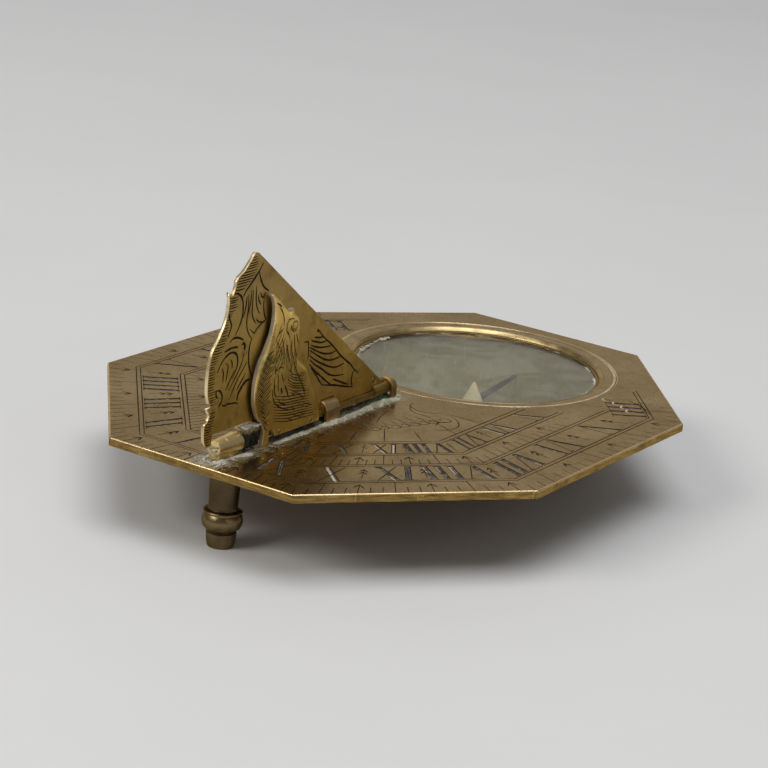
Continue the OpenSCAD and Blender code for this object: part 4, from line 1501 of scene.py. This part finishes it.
def ridge(name, path, widths, heights, seed, material):
    """A lumpy low ridge of dried polish on the plate along a path of [x, y] points.
    widths and heights are spread evenly along the path."""
    line = along(path, 0.16)
    spans = 9
    verts = []
    faces = []
    last = len(line) - 1
    for i, (x, y) in enumerate(line):
        t = i / last
        steps = len(widths) - 1
        where = min(int(t * steps), steps - 1)
        part = t * steps - where
        wide = widths[where] + (widths[where + 1] - widths[where]) * part
        tall = heights[where] + (heights[where + 1] - heights[where]) * part
        fade = min(1, min(t, 1 - t) * last / 4)
        wave = noise.noise(Vector((i * 0.21, seed, 0)))
        wide *= (0.85 + 0.5 * wave) * (0.25 + 0.75 * fade)
        for k in range(spans):
            s = -1 + 2 * k / (spans - 1)
            lump = noise.noise(Vector((i * 0.32, s * 2.2, seed + 7)))
            edge = noise.noise(Vector((i * 0.45, 3.0 * math.copysign(1, s), seed + 3))) * 0.12
            high = tall * (1 - s * s) * (0.7 + 0.65 * lump) * (0.2 + 0.8 * fade)
            verts.append((x + s * (wide / 2 + edge), y + 0.05 * lump, PLATE_TOP + max(0.0, high) - 0.006))
    for i in range(last):
        for k in range(spans - 1):
            a = i * spans + k
            faces.append([a, a + 1, a + spans + 1, a + spans])
    base = len(verts)
    for i in range(last + 1):
        for k in (0, spans - 1):
            x, y, _ = verts[i * spans + k]
            verts.append((x, y, PLATE_TOP - 0.03))
    for i in range(last):
        a = i * spans
        b = base + 2 * i
        faces.append([a, a + spans, b + 2, b])
        a += spans - 1
        faces.append([a + spans, a, b + 1, b + 3])
        faces.append([b, b + 2, b + 3, b + 1])
    faces.append([base, base + 1] + [spans - 1 - k for k in range(spans)])
    end = last * spans
    faces.append([base + 2 * last + 1, base + 2 * last] + [end + k for k in range(spans)])
    piece = new_object(name, verts, faces, [material])
    smooth(piece.data)
    return piece


def crumbs(name, places, material):
    """Small lumps, each [x, y, height of its middle, size], as one piece."""
    verts = []
    faces = []
    for x, y, z, size in places:
        lump = bmesh.new()
        bmesh.ops.create_icosphere(lump, subdivisions=2, radius=size / 2)
        start = len(verts)
        for v in lump.verts:
            grown = v.co * (1 + 0.6 * noise.noise(v.co * (2.6 / size) + Vector((x * 7, y * 7, 0))))
            verts.append((x + grown.x, y + grown.y * 1.2, z + grown.z * 0.6))
        faces += [[start + v.index for v in face.verts] for face in lump.faces]
        lump.free()
    piece = new_object(name, verts, faces, [material])
    smooth(piece.data)
    return piece


# Each ridge: its path, its widths, its heights and its material
RIDGES = [
    ([(-0.5, -36.6), (0.2, -36.7), (0.75, -36.3), (0.95, -35.2), (0.95, -33.8), (1.15, -32.2),
      (1.5, -31.2), (1.5, -30.2)],
     [0.5, 0.9, 0.75, 0.5, 0.45, 0.8, 1.1, 0.5],
     [0.2, 0.34, 0.36, 0.26, 0.2, 0.28, 0.3, 0.1], RESIDUE),
    ([(1.25, -26.2), (1.2, -23), (1.25, -19), (1.3, -16.4), (1.5, -14.4), (1.55, -12.6), (1.3, -9),
      (1.15, -5), (1.25, -3), (1.4, -1.8), (1.0, -0.7), (0.6, -0.1)],
     [0.6, 0.9, 1.0, 0.9, 1.0, 1.4, 1.3, 1.2, 1.3, 1.5, 1.3, 0.6],
     [0.1, 0.16, 0.2, 0.2, 0.34, 0.42, 0.36, 0.34, 0.4, 0.44, 0.34, 0.14], RESIDUE),
    ([(-0.4, -36.6), (-1.0, -35.6), (-1.15, -33), (-1.3, -30)],
     [0.6, 0.7, 0.5, 0.3],
     [0.2, 0.26, 0.2, 0.1], RESIDUE),
    # Painted shade with some dirt in the corner under the bar, green with verdigris near the toe
    ([(0, -25.8), (0, -20), (0, -12), (0, -5), (0, -1.2)],
     [1.1, 1.2, 1.2, 1.3, 1.3],
     [0.3, 0.42, 0.42, 0.46, 0.46], SHADE_AND_VERDIGRIS)]
for number, (path, widths, heights, material) in enumerate(RIDGES):
    deposit = ridge("polish_residue_%d" % (number + 1), path, widths, heights, number * 13.7, material)
    settle(deposit, "base", "aged_brass")

# Crumbs west of the hinge, around the barrel, and on the barrel's end
scattered = []
for _ in range(150):
    y = rng.uniform(-37.2, -0.6)
    x = 1.3 + abs(rng.gauss(0, 0.9)) + 0.2 * math.sin(y)
    size = rng.choice((0.07, 0.09, 0.12, 0.16))
    scattered.append((x, y, PLATE_TOP + size * 0.12, size))
for _ in range(70):
    y = rng.uniform(-37.3, -30)
    x = rng.choice((-1, 1)) * rng.uniform(0.7, 1.7)
    scattered.append((x, y, PLATE_TOP + 0.03, rng.uniform(0.1, 0.3)))
barrel_end = edge_of("north_barrel", 1, False)
for _ in range(34):
    scattered.append((rng.uniform(-0.6, 0.6), barrel_end + rng.uniform(0, 0.05),
                      PLATE_TOP + rng.uniform(0.55, 1.75), rng.uniform(0.12, 0.34)))
settle(crumbs("polish_crumbs", scattered, RESIDUE), "base", "aged_brass")

# Pale deposit on the glass in two places along its east edge
deposit_r = 14.42
lumps = []
for y_low, y_high in ((13.2, 15.6), (18.9, 20.7)):
    for k in range(9):
        y = y_low + (y_high - y_low) * k / 8
        x = -math.sqrt(deposit_r ** 2 - (y - COMPASS[1]) ** 2)
        lumps.append((x + rng.uniform(-0.1, 0.25), y, glass_top + 0.06, rng.uniform(0.35, 0.6)))
settle(crumbs("glass_deposit", lumps, RESIDUE), "base", "aged_brass")

# Crust on the top of the block
block_x = edge_of("cam_block", 0)
block_top = edge_of("cam_block", 2)
crusted = []
for _ in range(60):
    y = rng.uniform(edge_of("cam_block", 1, False) + 0.1, edge_of("cam_block", 1) - 0.1)
    x = rng.choice((rng.uniform(0.3, 0.5), rng.uniform(0.8, 1.0) * block_x,
                    rng.uniform(-block_x, block_x) * 0.9))
    size = rng.uniform(0.16, 0.42)
    crusted.append((x, y, block_top - size * 0.3, size))
settle(crumbs("block_crust", crusted, RESIDUE), "gnomon", "corroded_steel")


# ---------------------------------------------------------------- floor, light and camera

def floor_material():
    n = Nodes("studio_floor")
    n.set("Base Color", n.over((0.72, 0.722, 0.725), (0.735, 0.737, 0.74), n.noise(40, 4, 0.6), 0.3, 0.7))
    n.set("Roughness", 0.75)
    n.set("Specular IOR Level", 0.2)
    return n.material


half = 4000
floor = new_object("floor", [(-half, -half, 0), (half, -half, 0), (half, half, 0), (-half, half, 0)],
                   [[0, 1, 2, 3]], [floor_material()])


def softbox(name, place, aim, width, height, power, tint=(1, 1, 1)):
    """An area light at a place, turned to a point, both in mm."""
    light = bpy.data.lights.new(name, "AREA")
    light.shape = "RECTANGLE"
    light.size = width * MM
    light.size_y = height * MM
    light.energy = power
    light.color = tint
    lamp = linked(name, light)
    lamp.location = [c * MM for c in place]
    toward = Vector([b - a for a, b in zip(place, aim)])
    lamp.rotation_euler = toward.to_track_quat("-Z", "Y").to_euler()


softbox("key", (150, -95, 1000), (0, 0, 0), 780, 780, 5.8)
softbox("side", (-300, -620, 540), (0, -20, 10), 420, 320, 2.8, (1, 0.97, 0.93))
softbox("fill", (700, -120, 330), (0, 0, 0), 520, 400, 0.3)
softbox("backdrop", (-800, 1300, 700), (0, 0, 150), 2200, 1300, 3.65)

world = bpy.data.worlds.new("studio")
world.use_nodes = True
background = world.node_tree.nodes["Background"].inputs
background["Color"].default_value = (0.155, 0.155, 0.155, 1)
background["Strength"].default_value = 1.0
bpy.context.scene.world = world
bpy.context.scene.view_settings.view_transform = "Standard"

# The camera stands north-west of the dial and looks down on it at 17 degrees, tilted a little
CAMERA_AT = Vector((154.696, -254.842, 102.971))
FORWARD = Vector((-0.49965, 0.81479, -0.29404))
UP = Vector((-0.23643, 0.19829, 0.95120))
VIEW_ANGLE = 16.355
camera_data = bpy.data.cameras.new("camera")
camera_data.sensor_width = 36
camera_data.angle = math.radians(VIEW_ANGLE)
camera_data.clip_start = 0.01
camera_data.clip_end = 50
camera = linked("camera", camera_data)
right = FORWARD.cross(UP).normalized()
up = right.cross(FORWARD).normalized()
turn = Matrix((right, up, -FORWARD)).transposed().to_4x4()
camera.matrix_world = Matrix.Translation(CAMERA_AT * MM) @ turn
bpy.context.scene.camera = camera
